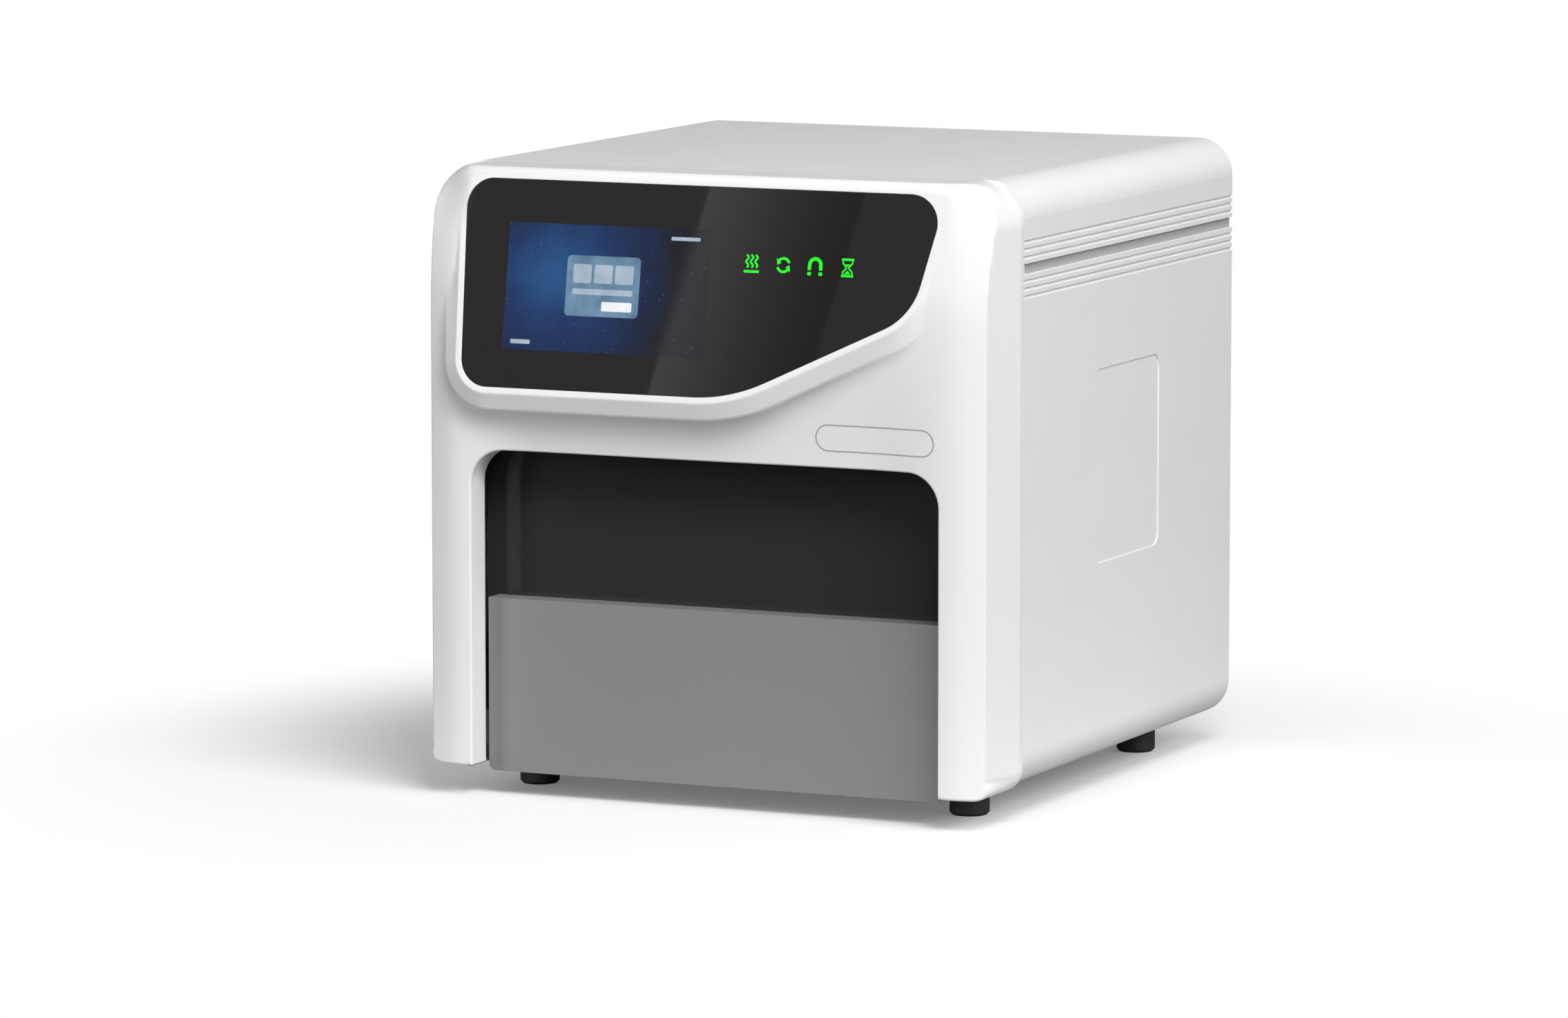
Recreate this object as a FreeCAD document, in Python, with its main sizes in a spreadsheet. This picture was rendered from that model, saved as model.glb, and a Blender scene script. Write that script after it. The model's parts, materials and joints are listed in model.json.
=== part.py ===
import FreeCAD, Part
import functools
import math
import os
import re
import Sketcher

# Benchtop nucleic acid extractor: a desk-side cabinet with a tilted control brow, a lift-up door
# and, behind the door, a three-plate magnetic rod head that works over heated plate nests.
#
# Frame: +Z up, front towards -Y, X = 0 on the middle plane, Z = 0 on the bench.  Depths are
# measured backwards from the front plane of the bezel, and the origin is the middle of the footprint.

SIZES = {
    # casing
    "half_width": 218, "top": 444, "floor_gap": 23, "body_depth": 445.6, "brow_reach": 13.34,
    "seam": 55, "seam_gap": 0.3, "wall": 3.5, "housing_corner": 26, "inner_corner": 22.5,
    "cover_return": 38,
    # bezel
    "bezel_wall": 3.5, "bezel_corner": 33, "band_start": 48, "band_inset": 1, "band_draft": 9.3,
    "brow_tall": 78, "lean": 9.5, "crown_round": 10, "roll_wide": 28, "roll_drop": 9, "roll_round": 90,
    "column_wide": 40.5, "header_tall": 119.5, "opening_round": 24, "jamb": 23.9, "jamb_wall": 3,
    "rim": 4.3, "skirt_depth": 5.8, "skirt_angle": 62, "cove_mid_depth": 9.1, "cove_end_depth": 14.2,
    "cove_start_angle": 30, "cove_mid_angle": 48.5, "cove_end_angle": 65.5, "cove_reach": 30,
    # control glass and what lies behind it
    "glass_top": 71, "glass_low": -74, "glass_bend": -12, "glass_knee": 27.3,
    "glass_left_top_inset": 34.8, "glass_left_low_inset": 39.9, "glass_right_top_inset": 39.1,
    "glass_right_bend_inset": 59.1, "glass_round": 20, "glass_knee_round": 128, "glass_bend_round": 46,
    "glass_thick": 2, "glass_sink": 0.3, "glass_gap": 0.2, "recess_draft": 4, "brow_wall": 11,
    "screen_gap": 1, "screen_wide": 165, "screen_tall": 100, "screen_thick": 7, "screen_x": -71.4,
    "screen_u": -3, "icon_pitch": 24, "icon_first": 37.6, "icon_u": 19.4, "icon_size": 13,
    "icon_deep": 3, "lamp_board_thick": 1.6, "lamp_board_edge": 8,
    # door
    "door_gap": 2.5, "door_low": 17.3, "door_split": 140, "door_box": 17, "door_skin": 3,
    "door_round": 5, "window_rise": 5.5, "window_side": 6.5, "window_thick": 3, "window_lap": 20,
    "frame_thick": 3, "frame_low": 33, "frame_rail": 22, "stack_gap": 0.3, "shoe_wide": 8.6,
    "shoe_tall": 24, "shoe_play": 0.5, "guide_clear": 2, "guide_wide": 12, "guide_wall": 3,
    "guide_slot": 9, "guide_drop": 8, "bumper_wide": 12,
    # base
    "base_thick": 3, "base_front": 43, "base_edge": 7, "base_slot_long": 70, "base_slot_wide": 6,
    "base_slot_pitch": 98, "base_slot_back": 101, "foot_radius": 14, "foot_inset": 52.2,
    "foot_front": 86, "foot_back_inset": 51.6, "foot_bevel": 2,
    # side frames and deck
    "frame_side": 2.5, "side_web": 3, "side_flange": 25, "side_top": 335, "frame_start": 60,
    "front_flange": 18, "deck_z": 48, "deck_thick": 6, "deck_rail_wide": 12, "deck_rail_inset": 39,
    "divider_thick": 3, "divider_drop": 44,
    # plate nests and heating bars
    "plate_long": 127.8, "plate_wide": 85.5, "nest_gap": 0.6, "nest_wall": 4.2, "nest_tall": 14,
    "nest_floor": 4, "nest_space": 0.9, "nest_front": 76, "well_pitch": 9, "column_inset": 14.4,
    "rows_apart": 54, "bar_long": 76, "bar_wide": 13, "bar_tall": 16, "groove_wide": 8.4,
    "groove_depth": 12,
    # rod head
    "rack_low": 150, "rack_thick": 12, "strip_wide": 7.6, "strip_ledge": 2, "strip_sink": 3,
    "head_side": 13, "head_margin": 12, "magnet_rise": 82, "magnet_plate_thick": 8, "rod_radius": 2.4,
    "rod_tip_rise": 4, "post_inset": 8, "post_radius": 5, "post_fit": 0.06, "head_room": 54,
    "head_top_thick": 6, "motor_size": 42, "motor_tall": 40, "motor_cut": 4, "screw_radius": 4,
    "screw_fit": 0.08, "screw_play": 1.2, "carrier_gap": 0.3, "carrier_thick": 6, "carrier_edge": 18,
    "nut_wide": 20, "nut_tall": 20,
    # carriage
    "back_gap": 17, "back_thick": 6, "back_drop": 25, "back_side": 5, "bridge_rise": 7,
    "bridge_thick": 6, "bridge_fore": 24.5, "bridge_long": 80, "lift_ahead": 9.5, "vrail_inset": 50,
    "vrail_wide": 9, "vrail_deep": 6, "vrail_short": 3, "vrail_drop": 15, "vblock_tall": 30,
    "vblock_wide": 20, "vblock_rise": 32, "vblock_pitch": 80, "rail_inset": 12, "rail_wide": 12,
    "rail_tall": 8, "rail_front": 18, "rail_short": 4, "block_wide": 27, "block_long": 34,
    "block_gap": 0.3, "block_rise": 2, "block_step": 41, "block_inset": 5, "yscrew_inset": 26,
    "yscrew_drop": 28, "yscrew_fore": 34.5, "bearing_tall": 12, "bearing_floor": 3, "bearing_reach": 6,
    # ultraviolet lamp
    "lamp_radius": 7.5, "lamp_side": 47, "lamp_back": 16, "lamp_z": 278, "socket_wide": 20,
    "socket_tall": 24,
    # rear bay
    "rear_sink": 2.2, "rear_thick": 2.4, "panel_corner": 22, "bay_back": 21, "fan_x": -100,
    "fan_z": 330, "fan_size": 120, "fan_thick": 25, "fan_rim": 3, "fan_corner": 4, "fan_hub": 20,
    "blade_gap": 2, "blade_thick": 2, "blade_pitch": -35, "guard_bar": 1.8, "guard_lap": 2.6,
    "supply_side": 19.5, "supply_fore": 9, "supply_wide": 115, "supply_long": 120, "supply_tall": 42,
    "board_x": 20, "board_wide": 160, "board_long": 115, "board_thick": 1.6, "standoff_tall": 8,
    "standoff_radius": 3, "inlet_x": 150, "inlet_z": 70, "inlet_wide": 48, "inlet_tall": 27,
    "inlet_deep": 30, "inlet_mouth_wide": 24, "inlet_mouth_tall": 16.8, "inlet_mouth_deep": 18,
    "pin_wide": 2, "pin_tall": 4, "pin_long": 15, "pin_pitch": 8, "flange_edge": 4,
    "flange_thick": 1.8, "switch_x": 95, "switch_deep": 18, "rocker_wide": 13, "rocker_tall": 19,
    "rocker_room": 12.6, "ports_x": 20, "ports_z": 70, "port_wide": 15, "port_tall": 15,
    "port_deep": 18, "port_wall": 2.4, "port_step": 24, "case_screw": 3, "case_screw_head": 1.6,
    "case_screw_inset": 12, "air_slot_long": 90, "air_slot_tall": 5, "air_slot_pitch": 11,
    "air_slot_x": 60, "air_slot_z": 260,
    # grooves and recessed panels of the cover's sides
    "groove_fine_drop": 43.1, "groove_low_drop": 70.1, "groove_step": 5.35, "groove_tall": 2.5,
    "groove_deep": 1.2, "vent_drop": 64.4, "vent_tall": 7.7, "vent_deep": 2.2, "panel_y": 185,
    "panel_long": 120, "panel_z": 165, "panel_tall": 137, "panel_deep": 0.8, "panel_round": 10,
    # how far a cutting solid runs past what it cuts
    "past": 1,
}

doc = FreeCAD.newDocument("extractor")
sheet = doc.addObject("Spreadsheet::Sheet", "Sizes")
for row, (alias, value) in enumerate(SIZES.items(), start=1):
    sheet.set(f"A{row}", alias)
    sheet.set(f"B{row}", str(value))
    sheet.setAlias(f"B{row}", alias)
doc.recompute()

ALIAS = re.compile(r"[a-z][a-z_]*")
TINY = 1e-4
NODES = []

# Places that several pieces share, as expression texts.
FRONT = "(brow_reach - body_depth) / 2"
FLOOR = "floor_gap + wall + base_thick"
BEND = "(top - brow_tall)"
OPENING_HALF = "(half_width - column_wide)"
OPENING_TOP = f"({BEND} - header_tall)"
WINDOW_HALF = f"({OPENING_HALF} + window_side)"
WINDOW_TOP = f"({OPENING_TOP} + window_rise)"
GUIDE_INNER = f"({WINDOW_HALF} + guide_clear)"
SIDE_OUTER = f"({OPENING_HALF} + frame_side)"
REAR = "(body_depth - rear_sink - rear_thick)"
FRAME_END = f"({REAR} - bay_back - supply_long - supply_fore - divider_thick)"


# ---- expressions and placement -------------------------------------------------------------

def bound(text):
    """The expression text with each size name pointed at its cell in the sheet."""
    return ALIAS.sub(lambda word: f"Sizes.{word[0]}" if word[0] in SIZES else word[0], text)


@functools.cache
def measured(text):
    """The number that an expression text stands for."""
    probe = doc.addObject("App::FeaturePython", "Probe")
    probe.addProperty("App::PropertyFloat", "Value")
    probe.setExpression("Value", bound(text))
    probe.recompute()
    value = probe.Value
    doc.removeObject(probe.Name)
    return value


def bind(thing, **properties):
    """Drive the named properties of a document object from expression texts."""
    for name, text in properties.items():
        thing.setExpression(name, bound(text))
    return thing


def put(thing, x="0", depth="0", z="0"):
    """Place an object at x, a depth behind the front plane, and a height."""
    thing.setExpression("Placement.Base.x", bound(x))
    thing.setExpression("Placement.Base.y", bound(f"{FRONT} + {depth}"))
    thing.setExpression("Placement.Base.z", bound(z))
    return thing


def put_leaning(thing, x="0", along="0", deep="0"):
    """Place an object in the brow's tilted frame: along runs up the brow, deep runs into it."""
    turn = FreeCAD.Rotation(FreeCAD.Vector(1, 0, 0), 90 - SIZES["lean"])
    thing.Placement = FreeCAD.Placement(FreeCAD.Vector(), turn)
    thing.setExpression("Placement.Rotation.Angle", bound("90 - lean"))
    return put(thing, x, f"({along}) * sin(lean) + ({deep}) * cos(lean)",
               f"{BEND} + ({along}) * cos(lean) - ({deep}) * sin(lean)")


def node(thing, label=None):
    """Keep an object as a piece of its own, under its label."""
    if label:
        thing.Label = label
    NODES.append(thing)
    return thing


# ---- solids --------------------------------------------------------------------------------

def box(label, wide, long, tall, x, depth, z):
    """A block from its low corner: wide along X, long along Y, tall along Z."""
    block = bind(doc.addObject("Part::Box", label), Length=wide, Width=long, Height=tall)
    return put(block, x, depth, z)


TURNS = {
    "X": FreeCAD.Rotation(FreeCAD.Vector(0, 1, 0), 90),
    "Y": FreeCAD.Rotation(FreeCAD.Vector(1, 0, 0), -90),
    "Z": FreeCAD.Rotation(),
}


def rod(label, radius, length, x, depth, z, axis="Z"):
    """A cylinder whose first end's centre is given and which runs along the axis."""
    cylinder = bind(doc.addObject("Part::Cylinder", label), Radius=radius, Height=length)
    cylinder.Placement = FreeCAD.Placement(FreeCAD.Vector(), TURNS[axis])
    return put(cylinder, x, depth, z)


def prism(label, sides, radius, length, x, depth, z, axis="Z"):
    """A straight bar with flat sides, whose first end's centre is given and which runs along the axis."""
    bar = bind(doc.addObject("Part::Prism", label), Circumradius=radius, Height=length)
    bar.Polygon = sides
    bar.Placement = FreeCAD.Placement(FreeCAD.Vector(), TURNS[axis])
    return put(bar, x, depth, z)


def cut(label, base, *tools):
    """The base with every tool taken out of it."""
    result = doc.addObject("Part::Cut", label)
    result.Base = base
    result.Tool = tools[0] if len(tools) == 1 else fuse(f"{label}_tools", *tools)
    return result


def fuse(label, *pieces):
    """The pieces joined into one solid."""
    result = doc.addObject("Part::MultiFuse", label)
    result.Shapes = list(pieces)
    result.Refine = True
    return result


def common(label, first, second):
    """What two solids share."""
    result = doc.addObject("Part::Common", label)
    result.Base = first
    result.Tool = second
    return result


def group(label, *pieces):
    """Separate solids that share one node."""
    result = doc.addObject("Part::Compound", label)
    result.Links = list(pieces)
    return result


def edges_of(base, size, chosen):
    """The chosen edges of an object, in the form that fillets and chamfers take."""
    doc.recompute()
    whole = base.Shape.BoundBox
    edges = enumerate(base.Shape.Edges, start=1)
    return [(index, SIZES[size], SIZES[size]) for index, edge in edges if chosen(edge.BoundBox, whole)]


def rounded(label, base, radius, chosen):
    """The base with the chosen edges rounded by the named size."""
    result = doc.addObject("Part::Fillet", label)
    result.Base = base
    result.Edges = edges_of(base, radius, chosen)
    return result


def chamfered(label, base, size, chosen):
    """The base with the chosen edges cut off flat by the named size."""
    result = doc.addObject("Part::Chamfer", label)
    result.Base = base
    result.Edges = edges_of(base, size, chosen)
    return result


def runs_along(axis):
    """A test for straight edges that run along one axis, from an edge's bounds and the solid's."""
    others = [name for name in ("XLength", "YLength", "ZLength") if name[0] != axis]

    def chosen(edge, whole):
        return all(getattr(edge, name) < TINY for name in others)
    return chosen


def along_y_below_top(edge, whole):
    """A test for the edges along Y that aren't at the solid's top."""
    return runs_along("Y")(edge, whole) and edge.ZMax < whole.ZMax - TINY


def along_y_above_foot(edge, whole):
    """A test for the edges along Y that aren't at the solid's foot."""
    return runs_along("Y")(edge, whole) and edge.ZMin > whole.ZMin + TINY


def upright_at_front(edge, whole):
    """A test for the upright edges that lie foremost."""
    return edge.ZLength > whole.ZLength - TINY and edge.YMax < whole.YMin + TINY


def across_at_top_front(edge, whole):
    """A test for the top edge that runs across, ahead of the solid's back."""
    return (edge.XLength > whole.XLength - TINY and edge.ZMin > whole.ZMax - TINY
            and edge.YMax < whole.YMax - TINY)


def front_to_back(edge, whole):
    """A test for the edges that run from the solid's front to its back."""
    return edge.YLength > whole.YLength - TINY


# ---- sketches ------------------------------------------------------------------------------

PLANES = {
    "front": FreeCAD.Rotation(FreeCAD.Vector(1, 0, 0), 90),
    "side": FreeCAD.Rotation(FreeCAD.Vector(1, 1, 1), 120),
    "top": FreeCAD.Rotation(),
}


def sharp_outline(label, corners, plane):
    """A closed sketch through corners whose coordinates are expression texts."""
    sketch = doc.addObject("Sketcher::SketchObject", label)
    sketch.Placement = FreeCAD.Placement(FreeCAD.Vector(), PLANES[plane])
    count = len(corners)
    ring = [FreeCAD.Vector(math.cos(step * math.tau / count), math.sin(step * math.tau / count), 0)
            for step in range(count)]
    for step in range(count):
        sketch.addGeometry(Part.LineSegment(ring[step], ring[(step + 1) % count]), False)
    for step in range(count):
        sketch.addConstraint(Sketcher.Constraint("Coincident", step, 2, (step + 1) % count, 1))
    for step, (across, up) in enumerate(corners):
        for kind, text in (("DistanceX", across), ("DistanceY", up)):
            index = sketch.addConstraint(Sketcher.Constraint(kind, -1, 1, step, 1, 1.0))
            sketch.setExpression(f"Constraints[{index}]", bound(text))
    return sketch


def round_outline(label, corners):
    """A closed sketch of tangent lines and arcs: each corner is (across, up, radius) as expression texts."""
    sketch = doc.addObject("Sketcher::SketchObject", label)
    count = len(corners)
    points = [FreeCAD.Vector(measured(across), measured(up), 0) for across, up, _ in corners]
    radii = [measured(radius) for _, _, radius in corners]
    starts, ends, middles = [], [], []
    for step, radius in enumerate(radii):
        back = (points[step - 1] - points[step]).normalize()
        ahead = (points[(step + 1) % count] - points[step]).normalize()
        half = back.getAngle(ahead) / 2
        reach = radius / math.tan(half)
        bisector = (back + ahead).normalize()
        centre = points[step] + bisector * (radius / math.sin(half))
        ends.append(points[step] + back * reach)
        starts.append(points[step] + ahead * reach)
        middles.append(centre - bisector * radius)
    for step in range(count):
        sketch.addGeometry(Part.LineSegment(starts[step], ends[(step + 1) % count]), False)
    for step in range(count):
        sketch.addGeometry(Part.Arc(ends[step], middles[step], starts[step]), False)
    for step, (across, up, radius) in enumerate(corners):
        arc = count + step
        before = (step - 1) % count
        corner = sketch.addGeometry(Part.Point(points[step]), True)
        arc_start = sketch.Geometry[arc].StartPoint
        first, last = (1, 2) if (arc_start - ends[step]).Length < 1e-6 else (2, 1)
        sketch.addConstraint(Sketcher.Constraint("Tangent", before, 2, arc, first))
        sketch.addConstraint(Sketcher.Constraint("Tangent", step, 1, arc, last))
        sketch.addConstraint(Sketcher.Constraint("PointOnObject", corner, 1, before))
        sketch.addConstraint(Sketcher.Constraint("PointOnObject", corner, 1, step))
        for kind, text in (("DistanceX", across), ("DistanceY", up)):
            index = sketch.addConstraint(Sketcher.Constraint(kind, -1, 1, corner, 1, measured(text)))
            sketch.setExpression(f"Constraints[{index}]", bound(text))
        index = sketch.addConstraint(Sketcher.Constraint("Radius", arc, radii[step]))
        sketch.setExpression(f"Constraints[{index}]", bound(radius))
    return sketch


def extrude(label, sketch, ahead="0", behind="0", taper=None):
    """A sketch made solid along its own normal, ahead of it and behind it."""
    solid = doc.addObject("Part::Extrusion", label)
    solid.Base = sketch
    solid.DirMode = "Normal"
    solid.Solid = True
    bind(solid, LengthFwd=ahead, LengthRev=behind)
    if taper:
        bind(solid, TaperAngleRev=taper)
    return solid


def side_profile(label, corners, low="-half_width", high="half_width"):
    """A profile of (depth, height) corners, made solid from one X to another."""
    sketch = put(sharp_outline(f"{label}_profile", corners, "side"), low)
    return extrude(label, sketch, f"({high}) - ({low})")


# ---- front bezel ---------------------------------------------------------------------------

GLASS_LEFT = "(glass_left_low_inset - half_width)"
GLASS_RIGHT = "(half_width - glass_right_bend_inset)"
GLASS = [
    (GLASS_LEFT, "glass_low", "glass_round"),
    ("glass_knee", "glass_low", "glass_knee_round"),
    (GLASS_RIGHT, "glass_bend", "glass_bend_round"),
    ("half_width - glass_right_top_inset", "glass_top", "glass_round"),
    ("glass_left_top_inset - half_width", "glass_top", "glass_round"),
]


def brow_cone(label, angle, depth, growth):
    """The glass's outline widening backwards at an angle, so that it has grown by a length at a depth."""
    start = f"({depth}) - ({growth}) / tan({angle})"
    sketch = put_leaning(round_outline(f"{label}_outline", GLASS), deep=start)
    return extrude(label, sketch, "0", f"cove_reach - ({start})", angle)


def leaning_box(label, wide, tall, long, x, along, deep):
    """A block in the brow's frame from its low front corner: wide along X, tall up the brow, long into it."""
    block = bind(doc.addObject("Part::Box", label), Length=wide, Width=tall, Height=long)
    return put_leaning(block, x, along, f"({deep}) + ({long})")


def bezel_block():
    """The bezel's outside: a flat face that leans back above the bend, with the brow's skirt and cove."""
    crest = (f"(top - {BEND}) * tan(lean)", "top")
    face = side_profile("face", [("seam", "floor_gap"), ("0", "floor_gap"), ("0", BEND), crest,
                                 ("seam", "top")])
    roll = put(sharp_outline("roll_profile", [
        ("-half_width", "seam"), ("-half_width", "roll_drop"), ("roll_wide - half_width", "0"),
        ("half_width - roll_wide", "0"), ("half_width", "roll_drop"), ("half_width", "seam")], "top"),
        z="floor_gap")
    roll = rounded("roll_soft", extrude("roll", roll, "top - floor_gap"), "roll_round", upright_at_front)
    lip = "rim + skirt_depth * tan(skirt_angle)"
    neck = f"{lip} + (cove_mid_depth - skirt_depth) * tan(cove_start_angle)"
    root = f"{neck} + (cove_end_depth - cove_mid_depth) * tan(cove_mid_angle)"
    brow = common("brow_lip", brow_cone("skirt", "skirt_angle", "0", "rim"),
                  brow_cone("cove_start", "cove_start_angle", "skirt_depth", lip))
    front = fuse("bezel_front", common("face_rolled", face, roll), brow,
                 brow_cone("cove_middle", "cove_mid_angle", "cove_mid_depth", neck),
                 brow_cone("cove_end", "cove_end_angle", "cove_end_depth", root))
    crown = side_profile("crown", [("seam", "floor_gap"), (f"(floor_gap - {BEND}) * tan(lean)", "floor_gap"),
                                   crest, ("seam", "top")])
    crown = rounded("crown_soft", crown, "crown_round", across_at_top_front)
    return common("bezel_outside", common("bezel_sides", front, bezel_envelope()), crown)


def bezel_envelope():
    """The drafted side bands and the straight strip at the seam, with rounded corners."""
    band = doc.addObject("Part::Wedge", "band")
    narrow = "half_width - band_inset - (band_start + brow_reach * 2) * tan(band_draft)"
    bind(band, Xmin=f"-({narrow})", Xmax=narrow, Ymin="-brow_reach * 2", Ymax="band_start",
         Zmin="floor_gap", Zmax="top", X2min="band_inset - half_width", X2max="half_width - band_inset",
         Z2min="floor_gap", Z2max="top")
    band = rounded("band_soft", put(band), "bezel_corner", front_to_back)
    strip = box("strip", "half_width * 2", "seam - band_start", "top - floor_gap",
                "-half_width", "band_start", "floor_gap")
    return fuse("bezel_limits", band, rounded("strip_soft", strip, "bezel_corner", runs_along("Y")))


def front_bezel():
    """The moulded front: a shell round the door opening, with the glass recess in its brow."""
    opening = box("opening", f"{OPENING_HALF} * 2", "seam + brow_reach * 2", OPENING_TOP,
                  f"-{OPENING_HALF}", "-brow_reach", "0")
    opening = rounded("opening_soft", opening, "opening_round", along_y_above_foot)
    inner = "half_width - bezel_wall * 3"
    well = box("door_well", f"({inner}) * 2", "seam", "top - floor_gap - bezel_wall * 2",
               f"-({inner})", "jamb", "floor_gap + bezel_wall")
    well = rounded("door_well_soft", well, "inner_corner", runs_along("Y"))
    hollows = [box(f"column_hollow_{side}", f"{inner} - {OPENING_HALF} - jamb_wall", "jamb",
                   f"{BEND} - floor_gap - bezel_corner", start, "roll_drop + bezel_wall",
                   "floor_gap + inner_corner")
               for side, start in (("left", f"-({inner})"), ("right", f"{OPENING_HALF} + jamb_wall"))]
    header = box("header_hollow", f"{OPENING_HALF} * 2", "jamb", "header_tall - jamb_wall * 4",
                 f"-{OPENING_HALF}", "bezel_wall", f"{OPENING_TOP} + jamb_wall")
    recess = brow_cone("glass_recess", "recess_draft", "0", "glass_gap")
    recess.setExpression("LengthRev", bound("glass_gap / tan(recess_draft) + glass_sink + glass_thick"))
    floor = "glass_sink + glass_thick + bezel_wall"
    bay = leaning_box("screen_bay", "screen_wide + screen_gap * 2", "screen_tall + screen_gap * 2", "jamb * 2",
                      "screen_x - screen_wide / 2 - screen_gap", "screen_u - screen_tall / 2 - screen_gap", "0")
    lamps = leaning_box("lamp_bay", "icon_pitch * 3 + icon_size + lamp_board_edge",
                        "icon_size + lamp_board_edge", "jamb * 2",
                        "icon_first - (icon_size + lamp_board_edge) / 2",
                        "icon_u - (icon_size + lamp_board_edge) / 2", "0")
    brow_hollow = leaning_box("brow_hollow", f"glass_knee - {GLASS_LEFT} - brow_wall",
                              "glass_top - glass_low - brow_wall * 2", "jamb * 2",
                              f"{GLASS_LEFT} + brow_wall", "glass_low + brow_wall", floor)
    side_hollow = leaning_box("side_hollow", f"{GLASS_RIGHT} - glass_knee - brow_wall",
                              "glass_top - glass_bend - brow_wall * 2", "jamb * 2",
                              "glass_knee", "glass_bend + brow_wall", floor)
    return node(cut("front_bezel", bezel_block(), opening, well, *hollows, header, recess, bay, lamps,
                    brow_hollow, side_hollow))


# ---- casing --------------------------------------------------------------------------------

GROOVES = [f"top - {drop} - groove_step * {count}"
           for drop in ("groove_fine_drop", "groove_low_drop") for count in range(3)]


def housing_cover():
    """The wrap-round cover: one skin that turns under at the bottom, grooved along both sides."""
    long = "body_depth - seam - seam_gap"
    start = "seam + seam_gap"
    outer = box("cover_outer", "half_width * 2", long, "top - floor_gap", "-half_width", start, "floor_gap")
    outer = rounded("cover_outer_soft", outer, "housing_corner", runs_along("Y"))
    inner = box("cover_inner", "(half_width - wall) * 2", f"{long} + past * 2", "top - floor_gap - wall * 2",
                "wall - half_width", f"{start} - past", "floor_gap + wall")
    inner = rounded("cover_inner_soft", inner, "inner_corner", runs_along("Y"))
    mouth = box("cover_mouth", "(half_width - cover_return) * 2", f"{long} + past * 2", "wall * 2",
                "cover_return - half_width", f"{start} - past", "floor_gap - wall / 2")
    tools = [inner, mouth]
    for side, fine_x, vent_x in (("left", "-half_width - past", "-half_width - past"),
                                 ("right", "half_width - groove_deep", "half_width - vent_deep")):
        for count, height in enumerate(GROOVES):
            tools.append(box(f"groove_{side}_{count}", "groove_deep + past", f"{long} + past * 2",
                             "groove_tall", fine_x, f"{start} - past", height))
        tools.append(box(f"vent_groove_{side}", "vent_deep + past", f"{long} + past * 2", "vent_tall",
                         vent_x, f"{start} - past", "top - vent_drop"))
        tools.append(rounded(f"panel_soft_{side}", box(
            f"panel_recess_{side}", "panel_deep + past", "panel_long", "panel_tall",
            "-half_width - past" if side == "left" else "half_width - panel_deep", "panel_y", "panel_z"),
            "panel_round", runs_along("X")))
    return node(cut("housing_cover", outer, *tools))


def base_plate():
    """The steel floor that carries the feet, side frames and electronics."""
    inner = "half_width - wall - inner_corner - base_edge"
    plate = box("base_sheet", f"({inner}) * 2", f"{REAR} - base_front - seam_gap", "base_thick",
                f"-({inner})", "base_front", "floor_gap + wall")
    slots = [box(f"base_slot_{count}", "base_slot_long", "base_slot_wide", "base_thick * 3",
                 f"base_slot_pitch * ({count}) - base_slot_long / 2", f"{REAR} - base_slot_back", "floor_gap")
             for count in (-1, 0, 1)]
    return node(cut("base_plate", plate, *slots))


def feet():
    """Four rubber feet with a bevelled lower edge, under the base plate."""
    pads = []
    for side, x in (("left", "foot_inset - half_width"), ("right", "half_width - foot_inset")):
        for end, depth in (("front", "foot_front"), ("back", "body_depth - foot_back_inset")):
            pad = rod(f"foot_block_{side}_{end}", "foot_radius", "floor_gap + wall - foot_bevel", x, depth,
                      "foot_bevel")
            edge = bind(doc.addObject("Part::Cone", f"foot_edge_{side}_{end}"),
                        Radius1="foot_radius - foot_bevel", Radius2="foot_radius", Height="foot_bevel")
            pads.append(fuse(f"foot_{side}_{end}", pad, put(edge, x, depth)))
    return node(group("feet", *pads))


def rear_panel():
    """The back: openings for the fan, inlet, switch and data ports, and rows of air slots."""
    inner = "half_width - wall - seam_gap"
    ahead = f"{REAR} - rear_thick"
    sheet_part = box("rear_sheet", f"({inner}) * 2", "rear_thick", "top - floor_gap - (wall + seam_gap) * 2",
                     f"-({inner})", REAR, "floor_gap + wall + seam_gap")
    sheet_part = rounded("rear_sheet_soft", sheet_part, "panel_corner", runs_along("Y"))
    holes = [rod("fan_hole", FAN_DUCT, "rear_thick * 3", "fan_x", ahead, "fan_z", "Y")]
    holes.append(box("inlet_hole", "inlet_wide", "rear_thick * 3", "inlet_tall", "inlet_x - inlet_wide / 2",
                     ahead, "inlet_z - inlet_tall / 2"))
    holes.append(box("switch_hole", "rocker_wide + flange_edge", "rear_thick * 3", "rocker_tall + flange_edge",
                     "switch_x - (rocker_wide + flange_edge) / 2", ahead,
                     "inlet_z - (rocker_tall + flange_edge) / 2"))
    for count in range(3):
        holes.append(box(f"port_hole_{count}", "port_wide", "rear_thick * 3", "port_tall",
                         f"ports_x - port_step * {count}", ahead, "ports_z - port_tall / 2"))
    for count in range(8):
        holes.append(box(f"air_slot_{count}", "air_slot_long", "rear_thick * 3", "air_slot_tall",
                         "air_slot_x", ahead, f"air_slot_z + air_slot_pitch * {count}"))
    return node(cut("rear_panel", sheet_part, *holes))


def case_screw_spots():
    """Where the rear panel's screws sit: its corners and the middles of its sides."""
    reach = "half_width - wall - case_screw_inset"
    low = "floor_gap + wall + case_screw_inset"
    high = "top - wall - case_screw_inset"
    middle = "(floor_gap + top) / 2"
    return [(x, z) for x in (f"-({reach})", reach) for z in (low, middle, high)]


def case_screws():
    """The heads of the six hexagon screws round the rear panel."""
    return node(group("case_screws", *[
        prism(f"screw_head_{place}", 6, "case_screw", "case_screw_head", x, "body_depth - rear_sink", z, "Y")
        for place, (x, z) in enumerate(case_screw_spots())]))


# ---- control brow --------------------------------------------------------------------------

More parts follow.
